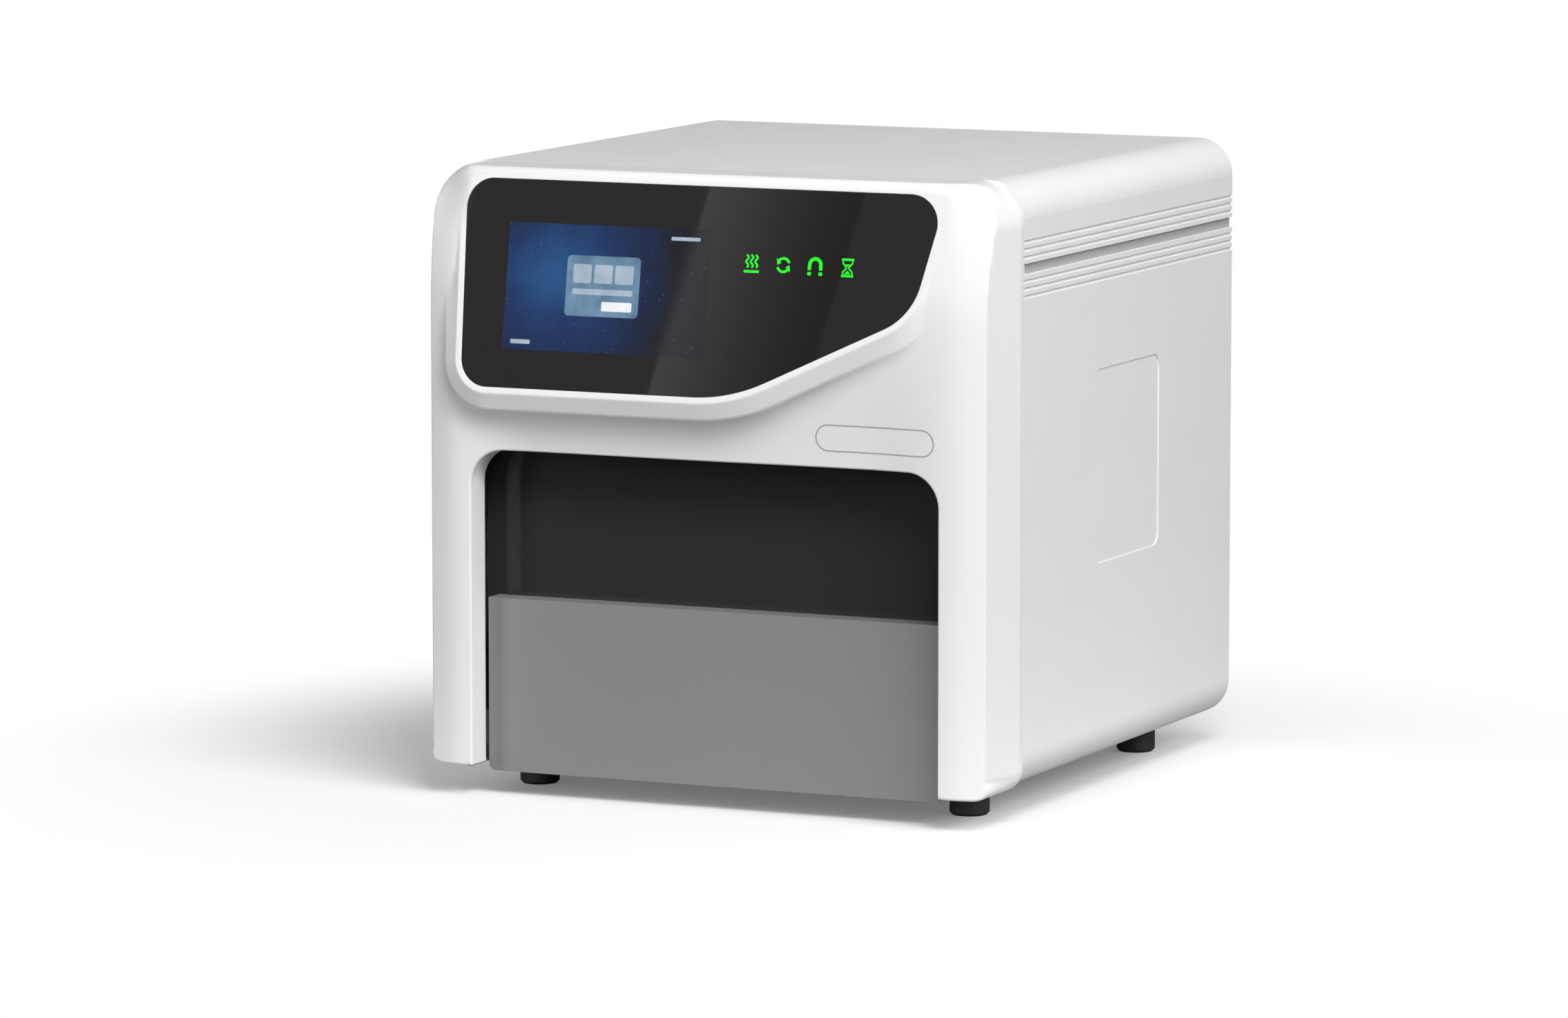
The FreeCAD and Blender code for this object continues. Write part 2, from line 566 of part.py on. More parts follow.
def control_glass():
    """The black glass that fills the brow's recess."""
    sketch = put_leaning(round_outline("glass_outline", GLASS), deep="glass_sink")
    return node(extrude("control_glass", sketch, "0", "glass_thick"))


def display_module():
    """The touch display behind the glass's left side, with its backlight box."""
    back = "glass_sink + glass_thick"
    panel = leaning_box("display_panel", "screen_wide", "screen_tall", "screen_thick",
                        "screen_x - screen_wide / 2", "screen_u - screen_tall / 2", back)
    return node(panel, "display_module")


def indicator_lights():
    """Four light guides behind the glass and the board that lights them."""
    back = "glass_sink + glass_thick"
    guides = [leaning_box(f"icon_{count}", "icon_size", "icon_size", "icon_deep",
                          f"icon_first + icon_pitch * {count} - icon_size / 2", "icon_u - icon_size / 2", back)
              for count in range(4)]
    node(group("indicator_lights", *guides))
    node(leaning_box("indicator_board", "icon_pitch * 3 + icon_size + lamp_board_edge - screen_gap",
                     "icon_size + lamp_board_edge - screen_gap", "lamp_board_thick",
                     "icon_first - (icon_size + lamp_board_edge - screen_gap) / 2",
                     "icon_u - (icon_size + lamp_board_edge - screen_gap) / 2", f"{back} + icon_deep"))


# ---- lift-up door --------------------------------------------------------------------------

def door():
    """A moulded lower cover, a smoked window set back above it, and the metal frame behind both."""
    half = f"{OPENING_HALF} - door_gap"
    cover = box("door_cover_block", f"({half}) * 2", "door_box", "door_split - door_low", f"-({half})",
                "jamb", "door_low")
    cover = rounded("door_cover_soft", cover, "door_round", along_y_below_top)
    hollow = box("door_cover_hollow", f"({half} - door_skin) * 2", "door_box",
                 "door_split - door_low - door_skin * 2", f"door_skin - ({half})", "jamb + door_skin",
                 "door_low + door_skin")
    node(cut("door_cover", cover, hollow))
    window_y = "jamb + door_box + stack_gap"
    node(box("door_window", f"{WINDOW_HALF} * 2", "window_thick", f"{WINDOW_TOP} - door_split + window_lap",
             f"-{WINDOW_HALF}", window_y, "door_split - window_lap"))
    frame_y = f"{window_y} + window_thick + stack_gap"
    frame = box("door_frame_sheet", f"{WINDOW_HALF} * 2", "frame_thick", f"{WINDOW_TOP} - frame_low",
                f"-{WINDOW_HALF}", frame_y, "frame_low")
    view = box("door_frame_view", f"({WINDOW_HALF} - frame_rail) * 2", "frame_thick * 3",
               f"{WINDOW_TOP} - door_split - frame_rail", f"frame_rail - {WINDOW_HALF}",
               f"{frame_y} - frame_thick", "door_split")
    node(cut("door_frame", frame, view))
    shoes = []
    for side, x in (("left", f"-{WINDOW_HALF} - shoe_wide"), ("right", WINDOW_HALF)):
        for level, z in (("low", "frame_low"), ("high", f"{WINDOW_TOP} - shoe_tall")):
            shoes.append(box(f"shoe_{side}_{level}", "shoe_wide", "guide_slot - shoe_play * 2", "shoe_tall",
                             x, f"{frame_y} + (frame_thick - guide_slot) / 2 + shoe_play", z))
    node(group("door_shoes", *shoes))


GUIDE_SLOT = "jamb + door_box + window_thick + stack_gap * 2 + (frame_thick - guide_slot) / 2"
GUIDE_BACK = f"{GUIDE_SLOT} + guide_slot + guide_wall"


def door_guides():
    """The upright channels that the door's shoes slide in, and the pads that it rests on."""
    channels = []
    tall = "top - guide_drop - frame_low"
    for side, x, slot_x in (("left", f"-{GUIDE_INNER} - guide_wide",
                             f"-{GUIDE_INNER} - guide_wide + guide_wall"),
                            ("right", GUIDE_INNER, f"{GUIDE_INNER} - past")):
        bar = box(f"guide_bar_{side}", "guide_wide", "guide_slot + guide_wall * 2", tall,
                  x, f"{GUIDE_SLOT} - guide_wall", "frame_low")
        slot = box(f"guide_slot_{side}", "guide_wide - guide_wall + past", "guide_slot",
                   f"{tall} + past * 2", slot_x, GUIDE_SLOT, "frame_low - past")
        channels.append(cut(f"door_guide_{side}", bar, slot))
    node(group("door_guides", *channels))
    pads = [box(f"bumper_{side}", "bumper_wide", "frame_thick * 2", f"frame_low - ({FLOOR}) - stack_gap", x,
                "jamb + door_box + window_thick + stack_gap * 2 - frame_thick / 2", FLOOR)
            for side, x in (("left", f"frame_rail - {WINDOW_HALF}"),
                            ("right", f"{WINDOW_HALF} - frame_rail - bumper_wide"))]
    node(group("door_bumpers", *pads))


# ---- chamber -------------------------------------------------------------------------------

def side_frames():
    """Folded side frames: an upright web, flanges in at top and bottom and a flange out for the guide."""
    for side, sign in (("left", -1), ("right", 1)):
        def span(low, high):
            return low if sign > 0 else f"-({high})"
        long = f"{FRAME_END} - frame_start"
        web = box(f"web_{side}", "side_web", long, f"side_top - ({FLOOR})",
                  span(f"{SIDE_OUTER} - side_web", SIDE_OUTER), "frame_start", FLOOR)
        flanges = [box(f"flange_{side}_{level}", "side_flange", long, "side_web",
                       span(f"{SIDE_OUTER} - side_flange", SIDE_OUTER), "frame_start", z)
                   for level, z in (("low", FLOOR), ("high", "side_top - side_web"))]
        front = box(f"front_flange_{side}", "front_flange", "side_web", "side_top - frame_low",
                    span(SIDE_OUTER, f"{SIDE_OUTER} + front_flange"), GUIDE_BACK, "frame_low")
        neck = box(f"neck_{side}", "side_web", f"frame_start - ({GUIDE_BACK})", f"side_top - ({FLOOR})",
                   span(f"{SIDE_OUTER} - side_web", SIDE_OUTER), GUIDE_BACK, FLOOR)
        node(fuse(f"side_frame_{side}", web, *flanges, front, neck))


def chamber_divider():
    """The upright wall between the chamber and the electronics, pierced for the carriage screw."""
    sheet_part = box("divider_sheet", f"{SIDE_OUTER} * 2", "divider_thick", f"top - divider_drop - ({FLOOR})",
                     f"-{SIDE_OUTER}", FRAME_END, FLOOR)
    passage = rod("divider_hole", "screw_radius + screw_play", "divider_thick * 3", YSCREW_X,
                  f"{FRAME_END} - divider_thick", YSCREW_Z, "Y")
    return node(cut("chamber_divider", sheet_part, passage))


def chamber_deck():
    """The chamber floor between the side frames, on two rails that stand on the base plate."""
    half = f"{SIDE_OUTER} - side_web - seam_gap"
    long = f"{FRAME_END} - frame_start - seam_gap"
    floor = box("deck_sheet", f"({half}) * 2", long, "deck_thick", f"-({half})", "frame_start", "deck_z")
    rails = [box(f"deck_rail_{side}", "deck_rail_wide", long, f"deck_z - ({FLOOR})", x, "frame_start", FLOOR)
             for side, x in (("left", f"deck_rail_inset - {SIDE_OUTER}"),
                             ("right", f"{SIDE_OUTER} - deck_rail_inset - deck_rail_wide"))]
    return node(fuse("chamber_deck", floor, *rails))


NEST_WIDE = "(plate_wide + (nest_gap + nest_wall) * 2)"
PLATE_PITCH = f"({NEST_WIDE} + nest_space)"
SLOTS = (("left", f"-{PLATE_PITCH}"), ("centre", "0"), ("right", PLATE_PITCH))


def plate_nests():
    """Three trays that hold a deep-well plate each, and grooved heating bars under two rows of its wells."""
    nest_long = "plate_long + (nest_gap + nest_wall) * 2"
    z = "deck_z + deck_thick"
    trays, bars = [], []
    for name, x in SLOTS:
        tray = box(f"nest_block_{name}", NEST_WIDE, nest_long, "nest_tall", f"{x} - {NEST_WIDE} / 2",
                   "nest_front", z)
        pocket = box(f"nest_pocket_{name}", "plate_wide + nest_gap * 2", "plate_long + nest_gap * 2",
                     "nest_tall", f"{x} - plate_wide / 2 - nest_gap", "nest_front + nest_wall",
                     f"{z} + nest_floor")
        grip = box(f"nest_grip_{name}", f"{NEST_WIDE} * 2", "plate_long / 3", "nest_tall",
                   f"{x} - {NEST_WIDE}", "nest_front + nest_wall + plate_long / 3", f"{z} + nest_floor * 2")
        trays.append(cut(f"plate_nest_{name}", tray, pocket, grip))
        for count in (0, 1):
            depth = f"nest_front + nest_wall + nest_gap + column_inset + rows_apart * {count}"
            bar = box(f"bar_block_{name}_{count}", "bar_long", "bar_wide", "bar_tall", f"{x} - bar_long / 2",
                      f"{depth} - bar_wide / 2", f"{z} + nest_floor")
            groove = box(f"bar_groove_{name}_{count}", "well_pitch * 8", "groove_wide", "bar_tall",
                         f"{x} - well_pitch * 4", f"{depth} - groove_wide / 2",
                         f"{z} + nest_floor + bar_tall - groove_depth")
            bars.append(cut(f"heating_bar_{name}_{count}", bar, groove))
    node(group("plate_nests", *trays))
    node(group("heating_bars", *bars))


# ---- rod head ------------------------------------------------------------------------------

FIRST_ROW = "nest_front + nest_wall + nest_gap + column_inset"
HEAD_FRONT = f"{FIRST_ROW} - head_margin"
HEAD_LONG = "rows_apart + head_margin * 2"
HEAD_BACK = f"{HEAD_FRONT} + {HEAD_LONG}"
MIDDLE = f"{FIRST_ROW} + rows_apart / 2"
HEAD_HALF = f"({PLATE_PITCH} + well_pitch * 4 + head_side)"
POSTS = (f"post_inset - {HEAD_HALF}", f"{HEAD_HALF} - post_inset")
RACK_TOP = "(rack_low + rack_thick)"
MAGNET_Z = f"({RACK_TOP} + magnet_rise)"
HEAD_TOP_Z = f"({MAGNET_Z} + magnet_plate_thick + head_room)"


def head_plate(label, low, tall):
    """A plate as wide and as long as the rod head."""
    return box(label, f"{HEAD_HALF} * 2", HEAD_LONG, tall, f"-{HEAD_HALF}", HEAD_FRONT, low)


def hole(label, radius, x, depth, low, tall):
    """A round hole up through a plate."""
    return rod(label, radius, f"({tall}) * 3", x, depth, f"{low} - ({tall})")


def sleeve_rack():
    """The plate that carries six strips of eight rod sleeves, each strip dropped into a rebated slot."""
    openings = []
    for name, x in SLOTS:
        for row in (0, 1):
            depth = f"{FIRST_ROW} + rows_apart * {row}"
            openings.append(box(f"strip_slot_{name}_{row}", "well_pitch * 8", "strip_wide", "rack_thick * 3",
                                f"{x} - well_pitch * 4", f"{depth} - strip_wide / 2", "rack_low - rack_thick"))
            openings.append(box(f"strip_rebate_{name}_{row}", "well_pitch * 8 + strip_ledge * 2",
                                "strip_wide + strip_ledge * 2", "rack_thick",
                                f"{x} - well_pitch * 4 - strip_ledge",
                                f"{depth} - strip_wide / 2 - strip_ledge", "rack_low + rack_thick - strip_sink"))
    return node(cut("sleeve_rack", head_plate("rack_blank", "rack_low", "rack_thick"), *openings))


def magnet_rod(place, row, well, x):
    """One of the many slim rods, drawn with eight sides, that hang in the sleeves."""
    tip = "rack_low + rod_tip_rise"
    return prism(f"magnet_rod_{place}_{row}_{well}", 8, "rod_radius", f"{MAGNET_Z} - ({tip})",
                 f"{x} + well_pitch * ({well} - 3.5)", f"{FIRST_ROW} + rows_apart * {row}", tip)


def rod_head():
    """The sleeve rack hung on two posts, and the magnet plate that a screw drives down between them."""
    sleeve_rack()
    node(group("magnet_rods", *[magnet_rod(name, row, well, x)
                                for name, x in SLOTS for row in (0, 1) for well in range(8)]))
    holes = [hole(f"post_hole_{count}", "post_radius + post_fit", x, MIDDLE, MAGNET_Z, "magnet_plate_thick")
             for count, x in enumerate(POSTS)]
    holes.append(hole("drive_hole", "screw_radius + screw_fit", "0", MIDDLE, MAGNET_Z, "magnet_plate_thick"))
    node(cut("magnet_plate", head_plate("magnet_plate_blank", MAGNET_Z, "magnet_plate_thick"), *holes))
    node(group("head_posts", *[rod(f"head_post_{count}", "post_radius", f"{HEAD_TOP_Z} - {RACK_TOP}", x, MIDDLE,
                                   RACK_TOP) for count, x in enumerate(POSTS)]))
    node(cut("head_top_plate", head_plate("head_top_blank", HEAD_TOP_Z, "head_top_thick"),
             hole("head_top_hole", "screw_radius + screw_play", "0", MIDDLE, HEAD_TOP_Z, "head_top_thick")))
    motor_z = f"{HEAD_TOP_Z} + head_top_thick"
    node(rod("magnet_screw", "screw_radius", f"{motor_z} - {RACK_TOP} - seam_gap * 2", "0", MIDDLE,
             f"{RACK_TOP} + seam_gap"))
    motor("magnet_motor", "0", MIDDLE, motor_z)


def motor(label, x, depth, z, lying=False):
    """A square stepper motor with cut corners, standing on z or lying along Y from its depth."""
    half = "motor_size / 2"
    if lying:
        body = box(f"{label}_block", "motor_size", "motor_tall", "motor_size", f"{x} - {half}", depth,
                   f"{z} - {half}")
    else:
        body = box(f"{label}_block", "motor_size", "motor_size", "motor_tall", f"{x} - {half}",
                   f"{depth} - {half}", z)
    return node(chamfered(label, body, "motor_cut", runs_along("Y" if lying else "Z")))


def head_carrier():
    """The upright plate behind the head, its rail blocks and the nut of the lift screw."""
    depth = f"{HEAD_BACK} + carrier_gap"
    half = f"({VRAIL_X} + carrier_edge)"
    node(box("head_carrier", f"{half} * 2", "carrier_thick", f"{HEAD_TOP_Z} + head_top_thick - rack_low",
             f"-{half}", depth, "rack_low"))
    back = f"{depth} + carrier_thick"
    reach = f"{BACK_FACE} - block_gap - ({back})"
    blocks = []
    for side, x in (("left", f"-{VRAIL_X}"), ("right", VRAIL_X)):
        for level, z in (("low", VBLOCK_LOW), ("high", f"{VBLOCK_LOW} + vblock_pitch")):
            blank = box(f"vblock_{side}_{level}", "vblock_wide", reach, "vblock_tall",
                        f"{x} - vblock_wide / 2", back, z)
            track = box(f"vtrack_{side}_{level}", "vrail_wide + block_gap * 2", reach, "vblock_tall + past * 2",
                        f"{x} - vrail_wide / 2 - block_gap", f"{BACK_FACE} - vrail_deep - block_gap",
                        f"{z} - past")
            blocks.append(cut(f"lift_block_{side}_{level}", blank, track))
    node(group("lift_blocks", *blocks))
    nut_z = f"{VBLOCK_LOW} + vblock_pitch / 2"
    nut = box("lift_nut_block", "nut_wide", f"{LIFT_AXIS} + screw_radius * 2 - ({back})", "nut_tall",
              "-nut_wide / 2", back, nut_z)
    bore = rod("lift_nut_bore", "screw_radius + screw_fit", "nut_tall + past * 2", "0", LIFT_AXIS,
               f"{nut_z} - past")
    node(cut("lift_nut", nut, bore))


BACK_FACE = f"{HEAD_BACK} + carrier_gap + carrier_thick + back_gap"
BACK_HALF = f"({SIDE_OUTER} - side_flange - back_side)"
BACK_LOW = "(rack_low - back_drop)"
LIFT_AXIS = f"{BACK_FACE} - lift_ahead"
BRIDGE_Z = "(side_top + rail_tall + bridge_rise)"
VRAIL_X = f"({BACK_HALF} - vrail_inset)"
VBLOCK_LOW = "(rack_low + vblock_rise)"
YSCREW_X = f"({BACK_HALF} - yscrew_inset)"
YSCREW_Z = f"({BRIDGE_Z} - yscrew_drop)"


# ---- carriage ------------------------------------------------------------------------------

def carriage():
    """The gantry that carries the head backwards: a back plate, a bridge and its rail blocks."""
    back = box("carriage_back_sheet", f"{BACK_HALF} * 2", "back_thick", f"{BRIDGE_Z} - {BACK_LOW}",
               f"-{BACK_HALF}", BACK_FACE, BACK_LOW)
    slot = rod("carriage_back_hole", "screw_radius + screw_play", "back_thick * 3", YSCREW_X,
               f"{BACK_FACE} - back_thick", YSCREW_Z, "Y")
    bearing = box("lift_bearing", "nut_wide", f"{BACK_FACE} - ({LIFT_AXIS}) + bearing_reach + back_thick / 2",
                  "bearing_tall", "-nut_wide / 2", f"{LIFT_AXIS} - bearing_reach", BACK_LOW)
    seat = rod("lift_seat", "screw_radius + screw_fit", "bearing_tall", "0", LIFT_AXIS,
               f"{BACK_LOW} + bearing_floor")
    node(cut("carriage_back", fuse("carriage_back_solid", back, bearing), slot, seat))
    rail_x = f"({SIDE_OUTER} - rail_inset)"
    bridge_start = f"{BACK_FACE} - bridge_fore"
    bridge = box("bridge_sheet", f"({rail_x} + block_wide / 2) * 2", "bridge_long", "bridge_thick",
                 f"-{rail_x} - block_wide / 2", bridge_start, BRIDGE_Z)
    passage = rod("bridge_hole", "screw_radius + screw_play", "bridge_thick * 3", "0", LIFT_AXIS,
                  f"{BRIDGE_Z} - bridge_thick")
    node(cut("carriage_bridge", bridge, passage))
    rail_low = f"({BACK_LOW} + vrail_short)"
    rails = [box(f"lift_rail_{side}", "vrail_wide", "vrail_deep", f"{BRIDGE_Z} - vrail_drop - {rail_low}",
                 f"{x} - vrail_wide / 2", f"{BACK_FACE} - vrail_deep", rail_low)
             for side, x in (("left", f"-{VRAIL_X}"), ("right", VRAIL_X))]
    node(group("lift_rails", *rails))
    screw_low = f"{BACK_LOW} + bearing_floor + seam_gap"
    node(rod("lift_screw", "screw_radius", f"{BRIDGE_Z} + bridge_thick - seam_gap - ({screw_low})", "0",
             LIFT_AXIS, screw_low))
    motor("lift_motor", "0", LIFT_AXIS, f"{BRIDGE_Z} + bridge_thick")
    blocks, tracks = [], []
    for side, x in (("left", f"-{rail_x}"), ("right", rail_x)):
        tracks.append(box(f"carriage_rail_{side}", "rail_wide",
                          f"{FRAME_END} - rail_short - frame_start - rail_front", "rail_tall",
                          f"{x} - rail_wide / 2", "frame_start + rail_front", "side_top"))
        for count in (0, 1):
            depth = f"{bridge_start} + block_inset + block_step * {count}"
            blank = box(f"block_{side}_{count}", "block_wide", "block_long",
                        f"{BRIDGE_Z} - side_top - block_rise",
                        f"{x} - block_wide / 2", depth, "side_top + block_rise")
            track = box(f"track_{side}_{count}", "rail_wide + block_gap * 2", "block_long + past * 2",
                        "rail_tall + block_gap", f"{x} - rail_wide / 2 - block_gap", f"{depth} - past",
                        "side_top")
            blocks.append(cut(f"carriage_block_{side}_{count}", blank, track))
    node(group("carriage_rails", *tracks))
    node(group("carriage_blocks", *blocks))
    nut_y = f"{BACK_FACE} + back_thick"
    nut = box("carriage_nut_block", "nut_wide", "nut_tall", "nut_wide", f"{YSCREW_X} - nut_wide / 2", nut_y,
              f"{YSCREW_Z} - nut_wide / 2")
    bore = rod("carriage_nut_bore", "screw_radius + screw_fit", "nut_tall + past * 2", YSCREW_X,
               f"{nut_y} - past", YSCREW_Z, "Y")
    node(cut("carriage_nut", nut, bore))
    screw_start = f"({BACK_FACE} - yscrew_fore)"
    node(rod("carriage_screw", "screw_radius", f"{FRAME_END} + divider_thick - seam_gap - {screw_start}",
             YSCREW_X, screw_start, YSCREW_Z, "Y"))
    motor("carriage_motor", YSCREW_X, f"{FRAME_END} + divider_thick", YSCREW_Z, lying=True)


# ---- lamp and electronics ------------------------------------------------------------------

def disinfection_lamp():
    """The ultraviolet tube across the back of the chamber and its two end sockets."""
    half = f"({SIDE_OUTER} - side_web - lamp_side)"
    node(rod("uv_lamp", "lamp_radius", f"{half} * 2", f"-{half}", f"{FRAME_END} - lamp_back", "lamp_z", "X"))
    sockets = [box(f"socket_{side}", "socket_wide", "socket_tall", "socket_tall", x,
                   f"{FRAME_END} - socket_tall", "lamp_z - socket_tall / 2")
               for side, x in (("left", f"-{half} - socket_wide"), ("right", half))]
    node(group("lamp_sockets", *sockets))


def electronics():
    """Power supply and control board on the base plate."""
    node(box("power_supply", "supply_wide", "supply_long", "supply_tall", "wall + supply_side - half_width",
             f"{REAR} - bay_back - supply_long", FLOOR))
    board_y = f"({REAR} - bay_back - board_long)"
    standoffs = [prism(f"standoff_{count}", 6, "standoff_radius", "standoff_tall", x, depth, FLOOR)
                 for count, (x, depth) in enumerate([(x, depth)
                 for x in ("board_x + standoff_radius * 2", "board_x + board_wide - standoff_radius * 2")
                 for depth in (f"{board_y} + standoff_radius * 2",
                               f"{board_y} + board_long - standoff_radius * 2")])]
    node(group("board_standoffs", *standoffs))
    board_z = f"{FLOOR} + standoff_tall"
    sheet_part = box("board_sheet", "board_wide", "board_long", "board_thick", "board_x", board_y, board_z)
    sink = box("board_heatsink", "board_wide / 4", "board_long / 3", "standoff_tall * 2",
               "board_x + board_wide / 6", f"{board_y} + board_long / 3", f"{board_z} + board_thick")
    sockets = box("board_sockets", "board_wide / 2", "standoff_tall", "standoff_tall",
                  "board_x + board_wide / 3", f"{board_y} + standoff_tall", f"{board_z} + board_thick")
    node(fuse("control_board", sheet_part, sink, sockets))


FAN_DUCT = "(fan_size / 2 - fan_rim)"


def fan():
    """The exhaust fan: its square frame, bladed rotor and wire guard."""
    depth = f"{REAR} - fan_thick"
    frame = box("fan_block", "fan_size", "fan_thick", "fan_size", "fan_x - fan_size / 2", depth,
                "fan_z - fan_size / 2")
    frame = rounded("fan_block_soft", frame, "fan_corner", runs_along("Y"))
    duct = rod("fan_duct_hole", FAN_DUCT, "fan_thick + past * 2", "fan_x", f"{depth} - past", "fan_z", "Y")
    arms = [box("fan_arm_flat", "fan_size - fan_corner", "blade_thick", "blade_thick * 3",
                "fan_x - (fan_size - fan_corner) / 2", f"{depth} + blade_thick", "fan_z - blade_thick * 1.5"),
            box("fan_arm_upright", "blade_thick * 3", "blade_thick", "fan_size - fan_corner",
                "fan_x - blade_thick * 1.5", f"{depth} + blade_thick", "fan_z - (fan_size - fan_corner) / 2")]
    seat = rod("fan_seat", "fan_hub", "blade_thick * 2", "fan_x", f"{depth} + blade_thick / 2", "fan_z", "Y")
    node(fuse("fan_frame", cut("fan_shell", frame, duct), *arms, seat))
    hub_y = f"{depth} + blade_thick * 2.5 + seam_gap"
    long = "fan_thick - blade_thick * 4"
    hub = rod("fan_hub_drum", "fan_hub", long, "fan_x", hub_y, "fan_z", "Y")
    blades = []
    for count in range(7):
        blade = doc.addObject("Part::Box", f"fan_blade_{count}")
        bind(blade, Length=f"{FAN_DUCT} - blade_gap", Width=f"{long} - blade_thick * 2", Height="blade_thick")
        spin = FreeCAD.Rotation(FreeCAD.Vector(0, 1, 0), 360 / 7 * count)
        pitch = FreeCAD.Rotation(FreeCAD.Vector(1, 0, 0), SIZES["blade_pitch"])
        blade.Placement = FreeCAD.Placement(FreeCAD.Vector(), spin * pitch)
        blades.append(put(blade, "fan_x", f"{hub_y} + blade_thick", "fan_z"))
    node(fuse("fan_rotor", hub, *blades))
    guard_y = f"{REAR} + rear_thick"
    reach = f"{FAN_DUCT} + guard_lap"
    rim = cut("guard_rim", rod("guard_disc", reach, "guard_bar", "fan_x", guard_y, "fan_z", "Y"),
              rod("guard_middle", f"{reach} - guard_bar", "guard_bar * 3", "fan_x", f"{guard_y} - guard_bar",
                  "fan_z", "Y"))
    cap = rod("guard_cap", "fan_hub", "guard_bar", "fan_x", guard_y, "fan_z", "Y")
    bars = [box("guard_bar_flat", f"({reach}) * 2", "guard_bar", "guard_bar", f"fan_x - ({reach})", guard_y,
                "fan_z - guard_bar / 2"),
            box("guard_bar_upright", "guard_bar", "guard_bar", f"({reach}) * 2", "fan_x - guard_bar / 2",
                guard_y, f"fan_z - ({reach})")]
    bars = [common(f"{bar.Name}_trimmed", bar, rod(f"{bar.Name}_limit", f"{reach} - guard_bar / 2", "guard_bar",
                                                   "fan_x", guard_y, "fan_z", "Y")) for bar in bars]
    node(fuse("fan_guard", rim, cap, *bars))


def rear_fittings():
    """The mains inlet, the rocker power switch and the data ports."""
    depth = "body_depth - rear_sink"
    flange = box("inlet_flange", "inlet_wide + flange_edge * 4", "flange_thick", "inlet_tall + flange_edge",
                 "inlet_x - inlet_wide / 2 - flange_edge * 2", depth,
                 "inlet_z - (inlet_tall + flange_edge) / 2")
    shell = box("inlet_shell", "inlet_wide - seam_gap * 2", "inlet_deep", "inlet_tall - seam_gap * 2",
                "inlet_x - inlet_wide / 2 + seam_gap", f"{depth} - inlet_deep",
                "inlet_z - inlet_tall / 2 + seam_gap")
    mouth = box("inlet_mouth", "inlet_mouth_wide", "inlet_deep", "inlet_mouth_tall",
                "inlet_x - inlet_mouth_wide / 2", f"{depth} - inlet_mouth_deep",
                "inlet_z - inlet_mouth_tall / 2")
    pins = [box(f"inlet_pin_{count}", "pin_wide", "pin_long + past", "pin_tall",
                f"inlet_x + pin_pitch * ({count}) - pin_wide / 2", f"{depth} - inlet_mouth_deep - past",
                "inlet_z - pin_tall / 2") for count in (-1, 0, 1)]
    node(fuse("mains_inlet", cut("inlet_body", fuse("inlet_solid", flange, shell), mouth), *pins))
    wide, tall = "rocker_wide + flange_edge - seam_gap * 2", "rocker_tall + flange_edge - seam_gap * 2"
    case = box("switch_case", wide, "switch_deep", tall, f"switch_x - ({wide}) / 2",
               f"{depth} - switch_deep", f"inlet_z - ({tall}) / 2")
    lip = box("switch_lip", f"{wide} + flange_edge", "flange_thick / 2", f"{tall} + flange_edge",
              f"switch_x - ({wide} + flange_edge) / 2", depth, f"inlet_z - ({tall} + flange_edge) / 2")
    mouth = box("switch_mouth", "rocker_wide + seam_gap * 2", "switch_deep", "rocker_tall + seam_gap * 4",
                "switch_x - rocker_wide / 2 - seam_gap", f"{depth} - rocker_room",
                "inlet_z - rocker_tall / 2 - seam_gap * 2")
    node(cut("switch_body", fuse("switch_solid", case, lip), mouth))
    pivot = f"{depth} - rocker_tall / 2 + flange_thick"
    drum = rod("rocker_drum", "rocker_tall / 2", "rocker_wide", "switch_x - rocker_wide / 2", pivot, "inlet_z",
               "X")
    face = box("rocker_face", "rocker_wide", "rocker_tall", "rocker_tall", "switch_x - rocker_wide / 2",
               pivot, "inlet_z - rocker_tall / 2")
    node(common("power_rocker", drum, face))
    ports = []
    for count in range(3):
        x = f"ports_x - port_step * {count}"
        block = box(f"port_block_{count}", "port_wide - seam_gap * 2", "port_deep", "port_tall - seam_gap * 2",
                    f"{x} + seam_gap", f"{depth} - port_deep", "ports_z - port_tall / 2 + seam_gap")
        bay = box(f"port_bay_{count}", "port_wide - port_wall * 2", "port_deep / 2",
                  "port_tall - port_wall * 2", f"{x} + port_wall", f"{depth} - port_deep / 2",
                  "ports_z - port_tall / 2 + port_wall")
        ports.append(cut(f"port_{count}", block, bay))
    node(group("data_ports", *ports))


def build():
    """Every piece, in the order that the bench assembly goes together."""
    for make in (front_bezel, housing_cover, base_plate, feet, rear_panel, case_screws, control_glass,
                 display_module, indicator_lights, door, door_guides, side_frames, chamber_divider,
                 chamber_deck, plate_nests, rod_head, head_carrier, carriage, disinfection_lamp,
                 electronics, fan, rear_fittings):
        make()
    doc.recompute()


def check():
    """Stop on a failed object or a sub-part whose solid is missing or broken."""
    failed = [thing.Label for thing in doc.Objects if {"Invalid", "Error"} & set(thing.State)]
    failed += [thing.Label for thing in NODES if thing.Shape.isNull() or not thing.Shape.isValid()]
    if failed:
        raise ValueError(f"these objects failed: {failed}")


def export():
    """One STEP file for each sub-part, named by its label."""
    os.makedirs("parts", exist_ok=True)
    for thing in NODES:
        thing.Shape.exportStep(f"parts/{thing.Label}.step")


build()
check()
export()
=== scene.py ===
import json
import math

import bmesh
import bpy
import numpy as np
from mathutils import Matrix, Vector
from mathutils.geometry import delaunay_2d_cdt, tessellate_polygon


